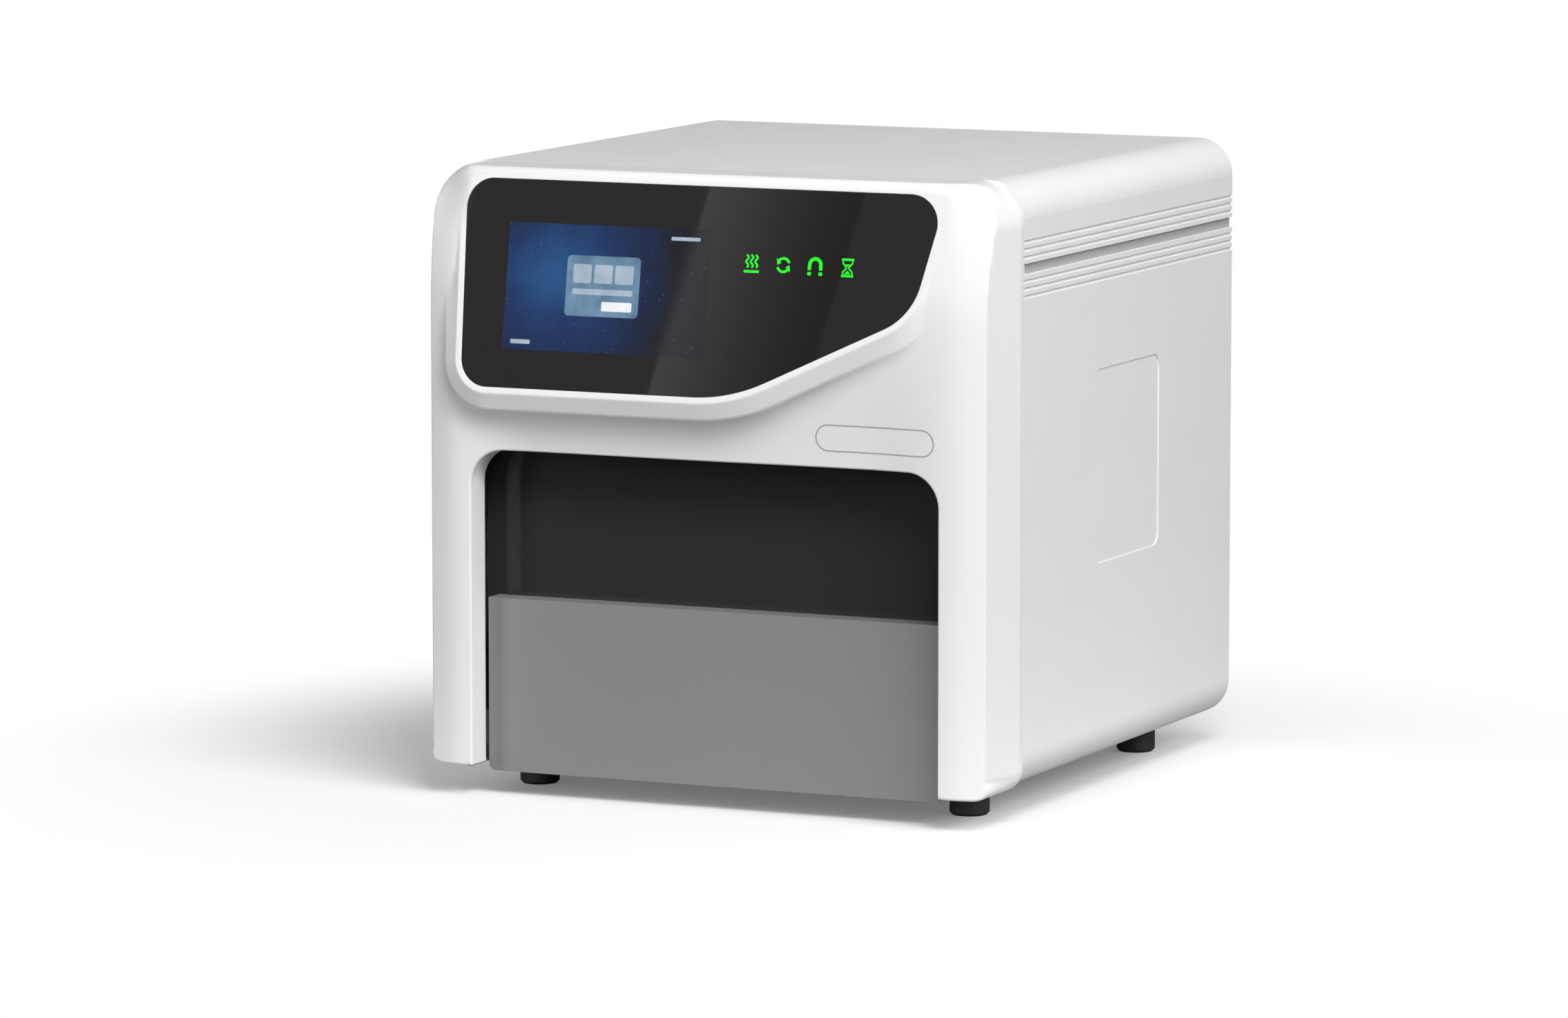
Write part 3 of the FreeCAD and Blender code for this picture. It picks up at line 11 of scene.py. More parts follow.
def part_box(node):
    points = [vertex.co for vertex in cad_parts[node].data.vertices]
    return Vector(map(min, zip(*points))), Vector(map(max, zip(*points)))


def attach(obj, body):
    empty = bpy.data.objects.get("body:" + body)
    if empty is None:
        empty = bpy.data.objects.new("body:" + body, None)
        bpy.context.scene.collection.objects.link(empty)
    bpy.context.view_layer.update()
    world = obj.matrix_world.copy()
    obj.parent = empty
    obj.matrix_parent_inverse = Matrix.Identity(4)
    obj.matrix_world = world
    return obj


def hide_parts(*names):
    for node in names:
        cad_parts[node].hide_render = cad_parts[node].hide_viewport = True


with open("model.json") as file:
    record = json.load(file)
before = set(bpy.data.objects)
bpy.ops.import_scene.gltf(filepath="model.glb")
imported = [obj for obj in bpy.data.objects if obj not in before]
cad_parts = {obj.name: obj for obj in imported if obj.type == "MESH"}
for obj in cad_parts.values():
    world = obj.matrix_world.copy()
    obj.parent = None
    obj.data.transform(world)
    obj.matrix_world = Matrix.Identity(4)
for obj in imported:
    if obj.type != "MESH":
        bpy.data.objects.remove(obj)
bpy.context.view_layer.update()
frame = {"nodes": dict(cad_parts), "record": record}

# The bench-top extractor's looks: materials, the moulded front, the lit display, the small round
# pieces, light and camera.  Metres, Z up, front towards -Y.

MM = 0.001


def linked(name, data):
    """A mesh, lamp or camera put into the scene."""
    thing = bpy.data.objects.new(name, data)
    bpy.context.scene.collection.objects.link(thing)
    return thing


def mesh_of(name, points, faces, material):
    """A mesh in one material, from points in metres."""
    mesh = bpy.data.meshes.new(name)
    mesh.from_pydata(points, [], faces)
    mesh.materials.append(material)
    return mesh


def bands(rows, count, start=0, closed=True, looped=False):
    """Four-sided faces between rows of so many points, with closed rows, or a loop of rows, joined up."""
    return [tuple(start + (row + ahead) % rows * count + (place + step) % count
                  for ahead, step in ((0, 0), (0, 1), (1, 1), (1, 0)))
            for row in range(rows if looped else rows - 1) for place in range(count if closed else count - 1)]


def turn_outward(mesh):
    """Turn the faces of closed pieces outwards."""
    editing = bmesh.new()
    editing.from_mesh(mesh)
    bmesh.ops.recalc_face_normals(editing, faces=editing.faces)
    editing.to_mesh(mesh)
    editing.free()


# ---- materials ----------------------------------------------

MIX_FIRST, MIX_SECOND, MIX_RESULT = 6, 7, 2      # a Mix node's sockets for colours
NOISE_RANGE = (0.3, 0.7)                         # where nearly all of a noise texture's values lie


class Nodes:
    """The node tree of a material or a world, built a step at a time."""

    def __init__(self, owner):
        owner.use_nodes = True
        self.tree = owner.node_tree

    def add(self, kind, **settings):
        made = self.tree.nodes.new(kind)
        for setting, value in settings.items():
            setattr(made, setting, value)
        return made

    def feed(self, socket, value):
        """Give a socket another node's output, a colour of three channels or a number."""
        if isinstance(value, bpy.types.NodeSocket):
            self.tree.links.new(value, socket)
        else:
            socket.default_value = (*value, 1) if isinstance(value, tuple) else value

    def number(self, operation, *values):
        """A number worked out from outputs and plain numbers."""
        made = self.add("ShaderNodeMath", operation=operation)
        for socket, value in zip(made.inputs, values):
            self.feed(socket, value)
        return made.outputs[0]

    def ramp(self, source, low, high, start=0.0, end=1.0, **settings):
        """A number mapped from start..end to low..high."""
        mapped = self.add("ShaderNodeMapRange", **settings)
        for socket, value in (("Value", source), ("From Min", start), ("From Max", end), ("To Min", low),
                              ("To Max", high)):
            self.feed(mapped.inputs[socket], value)
        return mapped.outputs["Result"]

    def mixed(self, share, first, second):
        """A colour between two others."""
        mix = self.add("ShaderNodeMix", data_type="RGBA")
        self.feed(mix.inputs["Factor"], share)
        self.feed(mix.inputs[MIX_FIRST], first)
        self.feed(mix.inputs[MIX_SECOND], second)
        return mix.outputs[MIX_RESULT]

    def emission(self, strength):
        glow = self.add("ShaderNodeEmission")
        self.feed(glow.inputs["Strength"], strength)
        return glow.outputs[0]

    def seen_directly(self):
        """1 for what the camera sees directly or through glass, 0 for what lights the object.

        Glossy rays get 0 too: metal and glass mirror the dimmer surroundings, not the white ones.
        """
        path = self.add("ShaderNodeLightPath")
        return self.number("MAXIMUM", path.outputs["Is Camera Ray"], path.outputs["Is Transmission Ray"])


def bare_material(name):
    """A material with an empty tree, and that tree."""
    material = bpy.data.materials.new(name)
    nodes = Nodes(material)
    nodes.tree.nodes.clear()
    return material, nodes


class Shader(Nodes):
    """A material on one Principled surface."""

    def __init__(self, name, color, roughness, metallic=0.0, **surface):
        self.material = bpy.data.materials.new(name)
        super().__init__(self.material)
        self.surface = self.tree.nodes["Principled BSDF"].inputs
        self.color = color
        self.roughness = roughness
        self.feed(self.surface["Base Color"], color)
        self.feed(self.surface["Roughness"], roughness)
        self.feed(self.surface["Metallic"], metallic)
        for socket, value in surface.items():
            self.feed(self.surface[socket.replace("_", " ")], value)
        self.place = self.add("ShaderNodeTexCoord").outputs["Object"]
        self.normal = None

    def noise(self, scale, detail=3.0, stretch=(1, 1, 1)):
        """Noise with features about 1/scale metres across, stretched along the axes."""
        mapping = self.add("ShaderNodeMapping")
        mapping.inputs["Scale"].default_value = stretch
        self.feed(mapping.inputs["Vector"], self.place)
        texture = self.add("ShaderNodeTexNoise")
        for socket, value in (("Scale", scale), ("Detail", detail), ("Vector", mapping.outputs["Vector"])):
            self.feed(texture.inputs[socket], value)
        return texture.outputs["Fac"]

    def varied(self, source, level, spread):
        """A level made lower and higher by a share of itself."""
        return self.ramp(source, level * (1 - spread), level * (1 + spread), *NOISE_RANGE)

    def tint(self, source, spread):
        """The base colour made lighter and darker by a share of itself."""
        darker = tuple(channel * (1 - spread) for channel in self.color)
        lighter = tuple(min(1.0, channel * (1 + spread)) for channel in self.color)
        self.feed(self.surface["Base Color"], self.mixed(source, darker, lighter))
        return self

    def worn(self, source, spread):
        """Roughness that varies by a share of itself."""
        self.feed(self.surface["Roughness"], self.varied(source, self.roughness, spread))
        return self

    def bump(self, source, height):
        """Relief of the given height in metres, on top of any relief so far."""
        relief = self.add("ShaderNodeBump")
        self.feed(relief.inputs["Distance"], height)
        self.feed(relief.inputs["Height"], source)
        if self.normal:
            self.feed(relief.inputs["Normal"], self.normal)
        self.normal = relief.outputs["Normal"]
        self.feed(self.surface["Normal"], self.normal)
        return self


def moulded(name, color, roughness, grain=1400, depth=0.00002, **surface):
    """Moulded plastic or glass: a fine grain, faint cloudy colour and uneven sheen."""
    made = Shader(name, color, roughness, **surface)
    made.tint(made.noise(9), 0.012).worn(made.noise(30), 0.10)
    return made.bump(made.noise(grain, 2), depth).material


def coated(name, color, roughness):
    """Powder coat: orange peel with a fine grit over it."""
    made = Shader(name, color, roughness)
    made.tint(made.noise(12), 0.012).worn(made.noise(40), 0.10)
    return made.bump(made.noise(420, 2), 0.00003).bump(made.noise(2600, 1), 0.000008).material


def brushed(name, color, roughness, stretch):
    """Metal with fine lines that run across the stretched axes."""
    made = Shader(name, color, roughness, metallic=1.0)
    lines = made.noise(90, 6, stretch)
    made.tint(lines, 0.10).worn(lines, 0.25)
    return made.bump(lines, 0.00001).material


FINISHES = {
    "bezel_shell": moulded("white_moulding", (0.80, 0.80, 0.80), 0.34),
    "cover_paint": coated("white_powder_coat", (0.79, 0.79, 0.79), 0.42),
    "panel_paint": coated("grey_powder_coat", (0.60, 0.61, 0.62), 0.45),
    "door_grey": moulded("grey_moulding", (0.215, 0.215, 0.215), 0.5),
    "smoked_window": moulded("smoked_acrylic", (0.030, 0.030, 0.030), 0.12, 300, 0.000002,
                             Alpha=0.96, Specular_IOR_Level=0.25),
    "black_glass": moulded("black_glass", (0.019, 0.0165, 0.0165), 0.015, 200, 0.0000003,
                           Specular_IOR_Level=0.4),
    "screen": moulded("display_black", (0.02, 0.02, 0.025), 0.3),
    "icon_light": moulded("green_diffuser", (0.2, 0.8, 0.3), 0.4),
    "circuit_board": moulded("solder_mask", (0.02, 0.16, 0.07), 0.35),
    "rubber_black": moulded("black_rubber", (0.016, 0.019, 0.022), 0.62, 900, 0.00006),
    "steel_sheet": brushed("steel_sheet", (0.55, 0.56, 0.57), 0.34, (1, 1, 14)),
    "aluminium_plate": brushed("aluminium_plate", (0.72, 0.73, 0.74), 0.38, (14, 1, 1)),
    "ground_steel": brushed("ground_steel", (0.62, 0.62, 0.64), 0.14, (1, 1, 20)),
    "bearing_steel": brushed("bearing_steel", (0.50, 0.51, 0.53), 0.24, (1, 14, 1)),
    "brass_nut": brushed("bronze", (0.62, 0.44, 0.20), 0.3, (14, 1, 1)),
    "motor_black": coated("motor_lacquer", (0.02, 0.02, 0.022), 0.35),
    "black_plastic": moulded("black_moulding", (0.022, 0.022, 0.024), 0.45),
    "white_plastic": moulded("white_ceramic", (0.72, 0.72, 0.70), 0.4),
    "acetal_guide": moulded("acetal", (0.66, 0.66, 0.63), 0.4),
    "heater_block": brushed("heater_block", (0.60, 0.60, 0.62), 0.5, (1, 1, 1)),
    "lamp_tube": moulded("quartz_tube", (0.62, 0.65, 0.72), 0.06),
    "supply_case": brushed("supply_case", (0.60, 0.61, 0.62), 0.4, (1, 14, 1)),
    "fastener_steel": brushed("zinc_plate", (0.55, 0.55, 0.57), 0.3, (1, 1, 4)),
}

slot_of = {part["node"]: part["material_slot"] for part in frame["record"]["subparts"]}
for label, thing in frame["nodes"].items():
    thing.data.materials.clear()
    thing.data.materials.append(FINISHES[slot_of[label]])


# ---- front bezel --------------------------------------------
#
# The moulding's front is worked out in millimetres as a field that is negative inside it.  Depth
# runs back from the front plane, and (across, up) are the brow's own tilted axes.

SEAM = 55.0                     # depth of the seam with the housing
(_, _, FOOT), (HALF, REAR, TOP) = ([length / MM for length in corner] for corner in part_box("front_bezel"))
FRONT = REAR - SEAM             # the front plane
CORNER, LOW_CORNER = 33.0, 16.0
CASING = [(-HALF, FOOT, LOW_CORNER), (HALF, FOOT, LOW_CORNER), (HALF, TOP, CORNER), (-HALF, TOP, CORNER)]

OPENING_HALF, OPENING_TOP, OPENING_ROUND = 177.5, 246.5, 24.0
BELOW = -200                    # the door opening is open downwards
OPENING = [(-OPENING_HALF, BELOW, 1), (OPENING_HALF, BELOW, 1), (OPENING_HALF, OPENING_TOP, OPENING_ROUND),
           (-OPENING_HALF, OPENING_TOP, OPENING_ROUND)]
JAMB = 23.5                     # depth of the opening's jamb

LEAN = math.radians(9.5)
BEND, BEND_SOFT = 366.0, 8.0    # height at which the face starts to lean back, and how softly
GLASS = [(-178.1, -74, 20), (27.3, -74, 128), (158.9, -12, 46), (178.9, 71, 20), (-183.2, 71, 20)]

# The front face away from the brow.  A pair is the start and the end of a smooth change.
ROLL, ROLL_FROM, ROLL_SOFT = math.radians(17.8), 190, 7     # its turn back towards the sides
CORNER_ROLL, CORNER_ROLL_FROM, CORNER_ROLL_FLAT = (180, 209), 388, 300
HEADER_RECESS, HEADER_REACH, HEADER_FADE = 9.5, (-196, -118), (0, 150)

# The brow, in distances outside the glass: a flat lip, a skirt, and a cove that fades into the face.
LIP, SKIRT = (3.8, 5.6), 28
TURN_IN, UNDERCUT = (14.2, 17.0), 32
COVE, COVE_REACH = 44, 14
FILLET, SHARP_FILLET, FILLET_FADE = 6, 0.4, (0, 40)
BROW_FADE = (0, 50)             # how far above the bend the brow sinks into the face

MOST_FORWARD = 18.0             # nothing stands further ahead of the front plane
HALVINGS, NORMAL_STEP = 26, 0.06

# The edges: side bands drafted forward of a depth, and the crown, which is rounder at its ends.
BAND_DEPTH, BAND_DRAFT = 50, math.radians(9.8)
BAND_EDGE, LOW_EDGE = 0.9, 2
CROWN, CROWN_SWELL, CROWN_ENDS = 6.5, 6, (158, 206)
CORNER_SHARE = (0.3, 0.95)      # where round a corner the sides' edge becomes the top's or the bottom's


class Outline:
    """A convex outline with rounded corners, given anticlockwise as (x, z, radius)."""

    def __init__(self, corners):
        points = np.array([corner[:2] for corner in corners], float)
        ahead = np.roll(points, -1, axis=0) - points
        ahead /= np.linalg.norm(ahead, axis=1)[:, None]
        self.points = points
        self.radii = np.array([corner[2] for corner in corners], float)
        self.normals = np.stack([ahead[:, 1], -ahead[:, 0]], axis=1)
        before = np.roll(self.normals, 1, axis=0)
        bisector = self.normals + before
        bisector /= np.linalg.norm(bisector, axis=1)[:, None]
        half = np.arccos(np.clip((self.normals * before).sum(axis=1), -1, 1)) / 2
        self.centres = points - bisector * (self.radii / np.cos(half))[:, None]

    def distance(self, x, z):
        """Signed distance outside the outline."""
        nearest = np.full(np.shape(x), -1e9)
        for point, normal in zip(self.points, self.normals):
            nearest = np.maximum(nearest, (x - point[0]) * normal[0] + (z - point[1]) * normal[1])
        for place, centre in enumerate(self.centres):
            dx, dz = x - centre[0], z - centre[1]
            first, last = self.normals[place - 1], self.normals[place]
            inside = (first[0] * dz - first[1] * dx > 0) & (dx * last[1] - dz * last[0] > 0)
            nearest = np.where(inside, np.hypot(dx, dz) - self.radii[place], nearest)
        return nearest

    def ring(self, offset=0.0, spacing=3.0):
        """Points round the outline moved outwards by an offset, and their normals."""
        found, facing = [], []
        for place, centre in enumerate(self.centres):
            first = math.atan2(*self.normals[place - 1][::-1])
            turn = (math.atan2(*self.normals[place][::-1]) - first) % math.tau
            radius = self.radii[place] + offset
            steps = max(4, round(turn * max(radius, 1.0) / (spacing * 0.6)))
            for step in range(steps + 1):
                angle = first + turn * step / steps
                facing.append((math.cos(angle), math.sin(angle)))
                found.append(centre + np.array(facing[-1]) * radius)
            following = (place + 1) % len(self.centres)
            normal = self.normals[place]
            goal = self.centres[following] + normal * (self.radii[following] + offset)
            start = found[-1]
            steps = max(1, round(float(np.linalg.norm(goal - start)) / spacing))
            for step in range(1, steps):
                found.append(start + (goal - start) * step / steps)
                facing.append(tuple(normal))
        return np.array(found), np.array(facing)


def eased(value, low, high):
    """0 below low and 1 above high, with a smooth rise between."""
    share = np.clip((value - low) / (high - low), 0, 1)
    return share * share * (3 - 2 * share)


def rounded_corner(first, second, radius):
    """Where two bodies meet, their common part with its edge rounded."""
    return (np.minimum(np.maximum(first, second), -radius)
            + np.hypot(np.maximum(first + radius, 0), np.maximum(second + radius, 0)))


def blended(first, second, reach):
    """Two bodies joined with a soft fillet."""
    share = np.maximum(reach - np.abs(first - second), 0) / reach
    return np.minimum(first, second) - share * share * reach / 4


def soft_ramp(value, softness):
    """0 below 0 and rising evenly above it, with a soft bend between."""
    return softness * np.logaddexp(0, value / softness)


casing, opening, glass = Outline(CASING), Outline(OPENING), Outline(GLASS)

# The brow's section: how its surface turns back with the distance outside the glass.
SECTION_STEP, SECTION_REACH = 0.25, 260
section_reach = np.arange(0, SECTION_REACH, SECTION_STEP)
section_angle = (SKIRT * eased(section_reach, *LIP) + UNDERCUT * eased(section_reach, *TURN_IN)
                 - COVE * (1 - np.exp(-np.maximum(section_reach - TURN_IN[1], 0) / COVE_REACH)))
section_depth = np.cumsum(np.tan(np.radians(section_angle))) * SECTION_STEP


def face(x, y, z):
    """The leaning face with its soft bend, its roll towards the sides and its recess over the door."""
    back = math.tan(LEAN) * soft_ramp(z - BEND, BEND_SOFT)
    back = back + math.tan(ROLL) * soft_ramp(np.abs(x) - ROLL_FROM, ROLL_SOFT)
    back = back + eased(np.abs(x), *CORNER_ROLL) * np.maximum(z - CORNER_ROLL_FROM, 0) ** 2 / CORNER_ROLL_FLAT
    header = eased(-np.abs(x), *HEADER_REACH) * eased(BEND - z, *HEADER_FADE)
    return (back + HEADER_RECESS * header - y) * math.cos(LEAN)


def brow(x, y, z):
    """The brow that stands forward round the glass, with its skirt and the cove below."""
    up = (z - BEND) * math.cos(LEAN) + y * math.sin(LEAN)
    deep = y * math.cos(LEAN) - (z - BEND) * math.sin(LEAN)
    out = np.maximum(glass.distance(x, up), 0)
    surface = np.interp(out, section_reach, section_depth)
    slope = np.cos(np.radians(np.interp(out, section_reach, section_angle)))
    return (surface - deep) * slope


def round_corner(x, past, radius):
    """0 along a side and 1 along the top or bottom, for points that are so far past a corner's start."""
    aside = np.maximum(np.abs(x) - (HALF - radius), 0) + 1e-6
    past = np.maximum(past, 0)
    return eased(past / np.hypot(aside, past), *CORNER_SHARE)


def bezel_field(x, y, z):
    """Negative inside the bezel, in front of its hollows."""
    plain = face(x, y, z)
    front = blended(plain, brow(x, y, z), SHARP_FILLET + FILLET * eased(BEND - z, *FILLET_FADE))
    front = front + (plain - front) * eased(z - BEND, *BROW_FADE)
    upward = round_corner(x, z - (TOP - CORNER), CORNER)
    downward = round_corner(x, FOOT + LOW_CORNER - z, LOW_CORNER)
    sideways = 1 - upward - downward
    band = sideways * np.maximum(BAND_DEPTH - y, 0) * math.tan(BAND_DRAFT) + casing.distance(x, z)
    crown = CROWN + CROWN_SWELL * eased(np.abs(x), *CROWN_ENDS)
    return rounded_corner(front, band, BAND_EDGE * sideways + crown * upward + LOW_EDGE * downward)


def depth_at(x, z):
    """How far behind the front plane the bezel's surface lies, found by halving."""
    near, far = np.full(np.shape(x), -MOST_FORWARD), np.full(np.shape(x), SEAM + 1)
    for _ in range(HALVINGS):
        middle = (near + far) / 2
        outside = bezel_field(x, middle, z) > 0
        near, far = np.where(outside, middle, near), np.where(outside, far, middle)
    return far


def normal_at(x, y, z):
    """The way the bezel's surface faces."""
    steps = [bezel_field(x + dx, y + dy, z + dz) - bezel_field(x - dx, y - dy, z - dz)
             for dx, dy, dz in np.eye(3) * NORMAL_STEP]
    slope = np.stack(steps, axis=1)
    return slope / np.linalg.norm(slope, axis=1)[:, None]


class Skin:
    """A mesh put together from sheets of points with normals of their own, in millimetres."""

    def __init__(self):
        self.points, self.normals, self.faces = [], [], []

    def sheet(self, points, normals, faces):
        """Points, their normals, and faces that are turned to agree with them."""
        start = sum(len(group) for group in self.points)
        points, normals = np.asarray(points, float), np.asarray(normals, float)
        self.points.append(points)
        self.normals.append(normals)
        for corners in faces:
            first, second, last = points[list(corners[:2]) + [corners[-1]]]
            if np.dot(np.cross(second - first, last - first), normals[list(corners)].sum(axis=0)) < 0:
                corners = corners[::-1]
            self.faces.append(tuple(start + corner for corner in corners))

    def loft(self, rows, facing, closed=True):
        """A sheet through rows of equally many points."""
        faces = bands(len(rows), len(rows[0]), closed=closed)
        self.sheet(np.concatenate(rows), np.concatenate(facing), faces)

    def made(self, name, material):
        """The mesh object, in metres."""
        points = np.concatenate(self.points) + np.array([0, FRONT, 0])
        mesh = mesh_of(name, (points * MM).tolist(), self.faces, material)
        mesh.shade_smooth()
        mesh.normals_split_custom_set_from_vertices(np.concatenate(self.normals).tolist())
        return linked(name, mesh)


def leaning(across, up, deep):
    """Points in the brow's tilted frame, as x, depth and height."""
    across, up, deep = np.broadcast_arrays(across, up, deep)
    return np.stack([across, up * math.sin(LEAN) + deep * math.cos(LEAN),
                     BEND + up * math.cos(LEAN) - deep * math.sin(LEAN)], axis=1)


def leaning_way(across, up, deep):
    """Directions in the brow's tilted frame."""
    return leaning(across, up, deep) - np.array([0, 0, BEND])


def upright(points, depth):
    """Outline points set at a depth, as x, depth and height."""
    return np.stack([points[:, 0], np.broadcast_to(depth, len(points)), points[:, 1]], axis=1)


GLASS_GAP = 0.2
GLASS_EDGE = 0.5       # radius of the moulding's lip round the glass
GLASS_DEEP = 2.5       # how deep the ledge behind the glass lies
GLASS_LEDGE = 8        # and how wide it is
OPENING_EDGE = 1.6     # radius of the door opening's front edge
FLANGE = 28.0          # width of the flange behind the jamb
FLANGE_INSET = 3       # and how far it stays inside the casing
TONGUE, TONGUE_INSET, REAR_RIM = 3, 0.8, 9       # the tongue behind the seam and the rim that closes it
QUARTER = np.radians((0, 22.5, 45, 67.5, 90))
STRAIGHT = 50.0        # tips an outline's normals almost straight to the front or back

# Where the front skin has rings of points along its edges, as distances from them.
RIM = 0.02
CASING_RINGS = (RIM, 0.12, 0.22, 0.3, 0.38, 0.42, 0.7, 1.1, 1.6, 2.4, 3.4, 4.6, 5.8, 6.6, 7.1, 7.5, 7.9, 8.4,
                9.2, 10.5)
GLASS_RINGS = (2.0, 3.6, 4.4, 5.2, 6.2, 8.5, 11.5, 14, 15, 16, 17, 18.5, 20.5, 23, 26, 30)
OPENING_RINGS = (OPENING_EDGE, 2.4, 4.0)
CASING_CLEAR, GLASS_CLEAR, OPENING_CLEAR = 12, 32, 6      # where the grid between them starts
LIP_CLEAR = 2          # how close the glass's own edge ring comes to the casing
GRID = 4.0             # spacing of the grid
FINE_GRID = 1.4        # the same where the crown meets the side bands
FINE_X, FINE_Z = 186, 372
FINE_CASING_CLEAR, FINE_GLASS_CLEAR = 3.5, 6


def front_skin(skin):
    """The whole visible front: rings that follow its edges, and a grid between them."""
    flat, edges = [], []

    def add_ring(points, keep):
        kept = [place for place, point in enumerate(points) if keep(*point)]
        number = {place: len(flat) + count for count, place in enumerate(kept)}
        flat.extend(tuple(points[place]) for place in kept)
        edges.extend((number[place], number[(place + 1) % len(points)]) for place in kept
                     if (place + 1) % len(points) in number)

    def round_glass(x, z):
        return glass.distance(x, (z - BEND) / math.cos(LEAN))

    lip = GLASS_GAP + GLASS_EDGE
    for out in (lip, *GLASS_RINGS):
        across, up = glass.ring(out)[0].T
        deep = np.where(up < 0, np.interp(out, section_reach, section_depth), 0)
        clear = LIP_CLEAR if out == lip else CASING_CLEAR
        add_ring(leaning(across, up, deep)[:, [0, 2]],
                 lambda x, z: casing.distance(x, z) < -clear and opening.distance(x, z) > OPENING_CLEAR - 1)
    for inset in CASING_RINGS:
        add_ring(casing.ring(-inset)[0], lambda x, z: opening.distance(x, z) > OPENING_EDGE + 0.4
                 and round_glass(x, z) > lip + 0.5)
    for out in OPENING_RINGS:
        add_ring(opening.ring(out)[0], lambda x, z: z > FOOT + RIM)

    grid = [(x, z) for x in np.arange(2 - HALF, HALF - 1, GRID) for z in np.arange(FOOT + 2, TOP - 1, GRID)
            if abs(x) < FINE_X or z < FINE_Z]
    grid += [(side * x, z) for side in (-1, 1) for x in np.arange(FINE_X, HALF - 3, FINE_GRID)
             for z in np.arange(FINE_Z, TOP - 3, FINE_GRID)]
    for x, z in grid:
        casing_clear = FINE_CASING_CLEAR if abs(x) > FINE_X and z > FINE_Z else CASING_CLEAR
        glass_clear = FINE_GLASS_CLEAR if z > BEND else GLASS_CLEAR
        if (casing.distance(x, z) < -casing_clear and opening.distance(x, z) > OPENING_CLEAR
                and round_glass(x, z) > glass_clear):
            flat.append((x, z))

    verts, _, faces, *_ = delaunay_2d_cdt([Vector(point) for point in flat], edges, [], 0, 1e-4)
    x, z = np.array([tuple(vert) for vert in verts]).T
    faces = np.array([tuple(corners) for corners in faces if len(corners) == 3])
    middle_x, middle_z = x[faces].mean(axis=1), z[faces].mean(axis=1)
    kept = ((casing.distance(middle_x, middle_z) < -RIM) & (round_glass(middle_x, middle_z) > lip)
            & (opening.distance(middle_x, middle_z) > OPENING_EDGE))
    y = depth_at(x, z)
    skin.sheet(np.stack([x, y, z], axis=1), normal_at(x, y, z), faces[kept].tolist())


def open_run(outline, offset, keep):
    """The part of an outline's ring that is kept, in order from one end to the other."""
    points, facing = outline.ring(offset)
    kept = np.array([keep(*point) for point in points])
    first = next(place for place in range(len(kept)) if kept[place] and not kept[place - 1])
    order = [(first + step) % len(kept) for step in range(int(kept.sum()))]
    return points[order], facing[order]


def facing_out(facing, depth=0.0):
    """Outline normals as directions in x, depth and height, tipped back by a share."""
    way = np.stack([facing[:, 0], np.full(len(facing), depth), facing[:, 1]], axis=1)
    return way / np.linalg.norm(way, axis=1)[:, None]


def casing_wall(skin):
    """The sides and top from the front skin's edge to the seam, and the rim that faces the housing."""
    points, facing = open_run(casing, 0.0, lambda x, z: z > FOOT + 1 or abs(x) > OPENING_HALF - 2)
    start = points - facing * RIM
    front = depth_at(start[:, 0], start[:, 1])
    rows, ways = [upright(start, front)], [facing_out(facing)]
    out, back = 0, 9        # how much of the normal points backwards
    for inset, depth, tip in ((0, front + RIM, out), (0, SEAM - 0.5, out), (0.15, SEAM - 0.15, 1),
                              (0.4, SEAM, back), (TONGUE_INSET, SEAM, back), (TONGUE_INSET, SEAM, out),
                              (TONGUE_INSET, SEAM + TONGUE, out), (TONGUE_INSET, SEAM + TONGUE, back),
                              (REAR_RIM, SEAM + TONGUE, back)):
        rows.append(upright(points - facing * inset, depth))
        ways.append(facing_out(facing, tip))
    skin.loft(rows, ways, closed=False)


def opening_wall(skin):
    """The door opening's rounded front edge, its jamb and the flange behind."""
    edge_points, facing = open_run(opening, OPENING_EDGE, lambda x, z: z > FOOT)
    front = depth_at(edge_points[:, 0], edge_points[:, 1])
    rows, ways = [], []
    for angle in QUARTER:
        points = edge_points - facing * OPENING_EDGE * math.sin(angle)
        rows.append(upright(points, front + OPENING_EDGE * (1 - math.cos(angle))))
        ways.append(facing_out(-facing, -1 / math.tan(angle) if angle else -STRAIGHT))
    rows.append(upright(points, JAMB))
    ways.append(facing_out(-facing))
    skin.loft(rows, ways, closed=False)
    below = np.maximum(FOOT + LOW_CORNER - edge_points[:, 1], 0)
    side = HALF - LOW_CORNER + np.sqrt(np.maximum(LOW_CORNER ** 2 - below ** 2, 0))
    wide = edge_points + facing * np.minimum(FLANGE, side - OPENING_HALF - FLANGE_INSET)[:, None]
    skin.loft([upright(points, JAMB), upright(wide, JAMB)], [facing_out(facing, STRAIGHT)] * 2, closed=False)
    for side in (-1, 1):
        beside = (np.abs(facing[:, 1]) < 0.01) & (facing[:, 0] * side > 0)
        edge, way = wide[beside], facing_out(-facing[beside])
        skin.loft([upright(edge, JAMB), upright(edge, SEAM)], [way, way], closed=False)


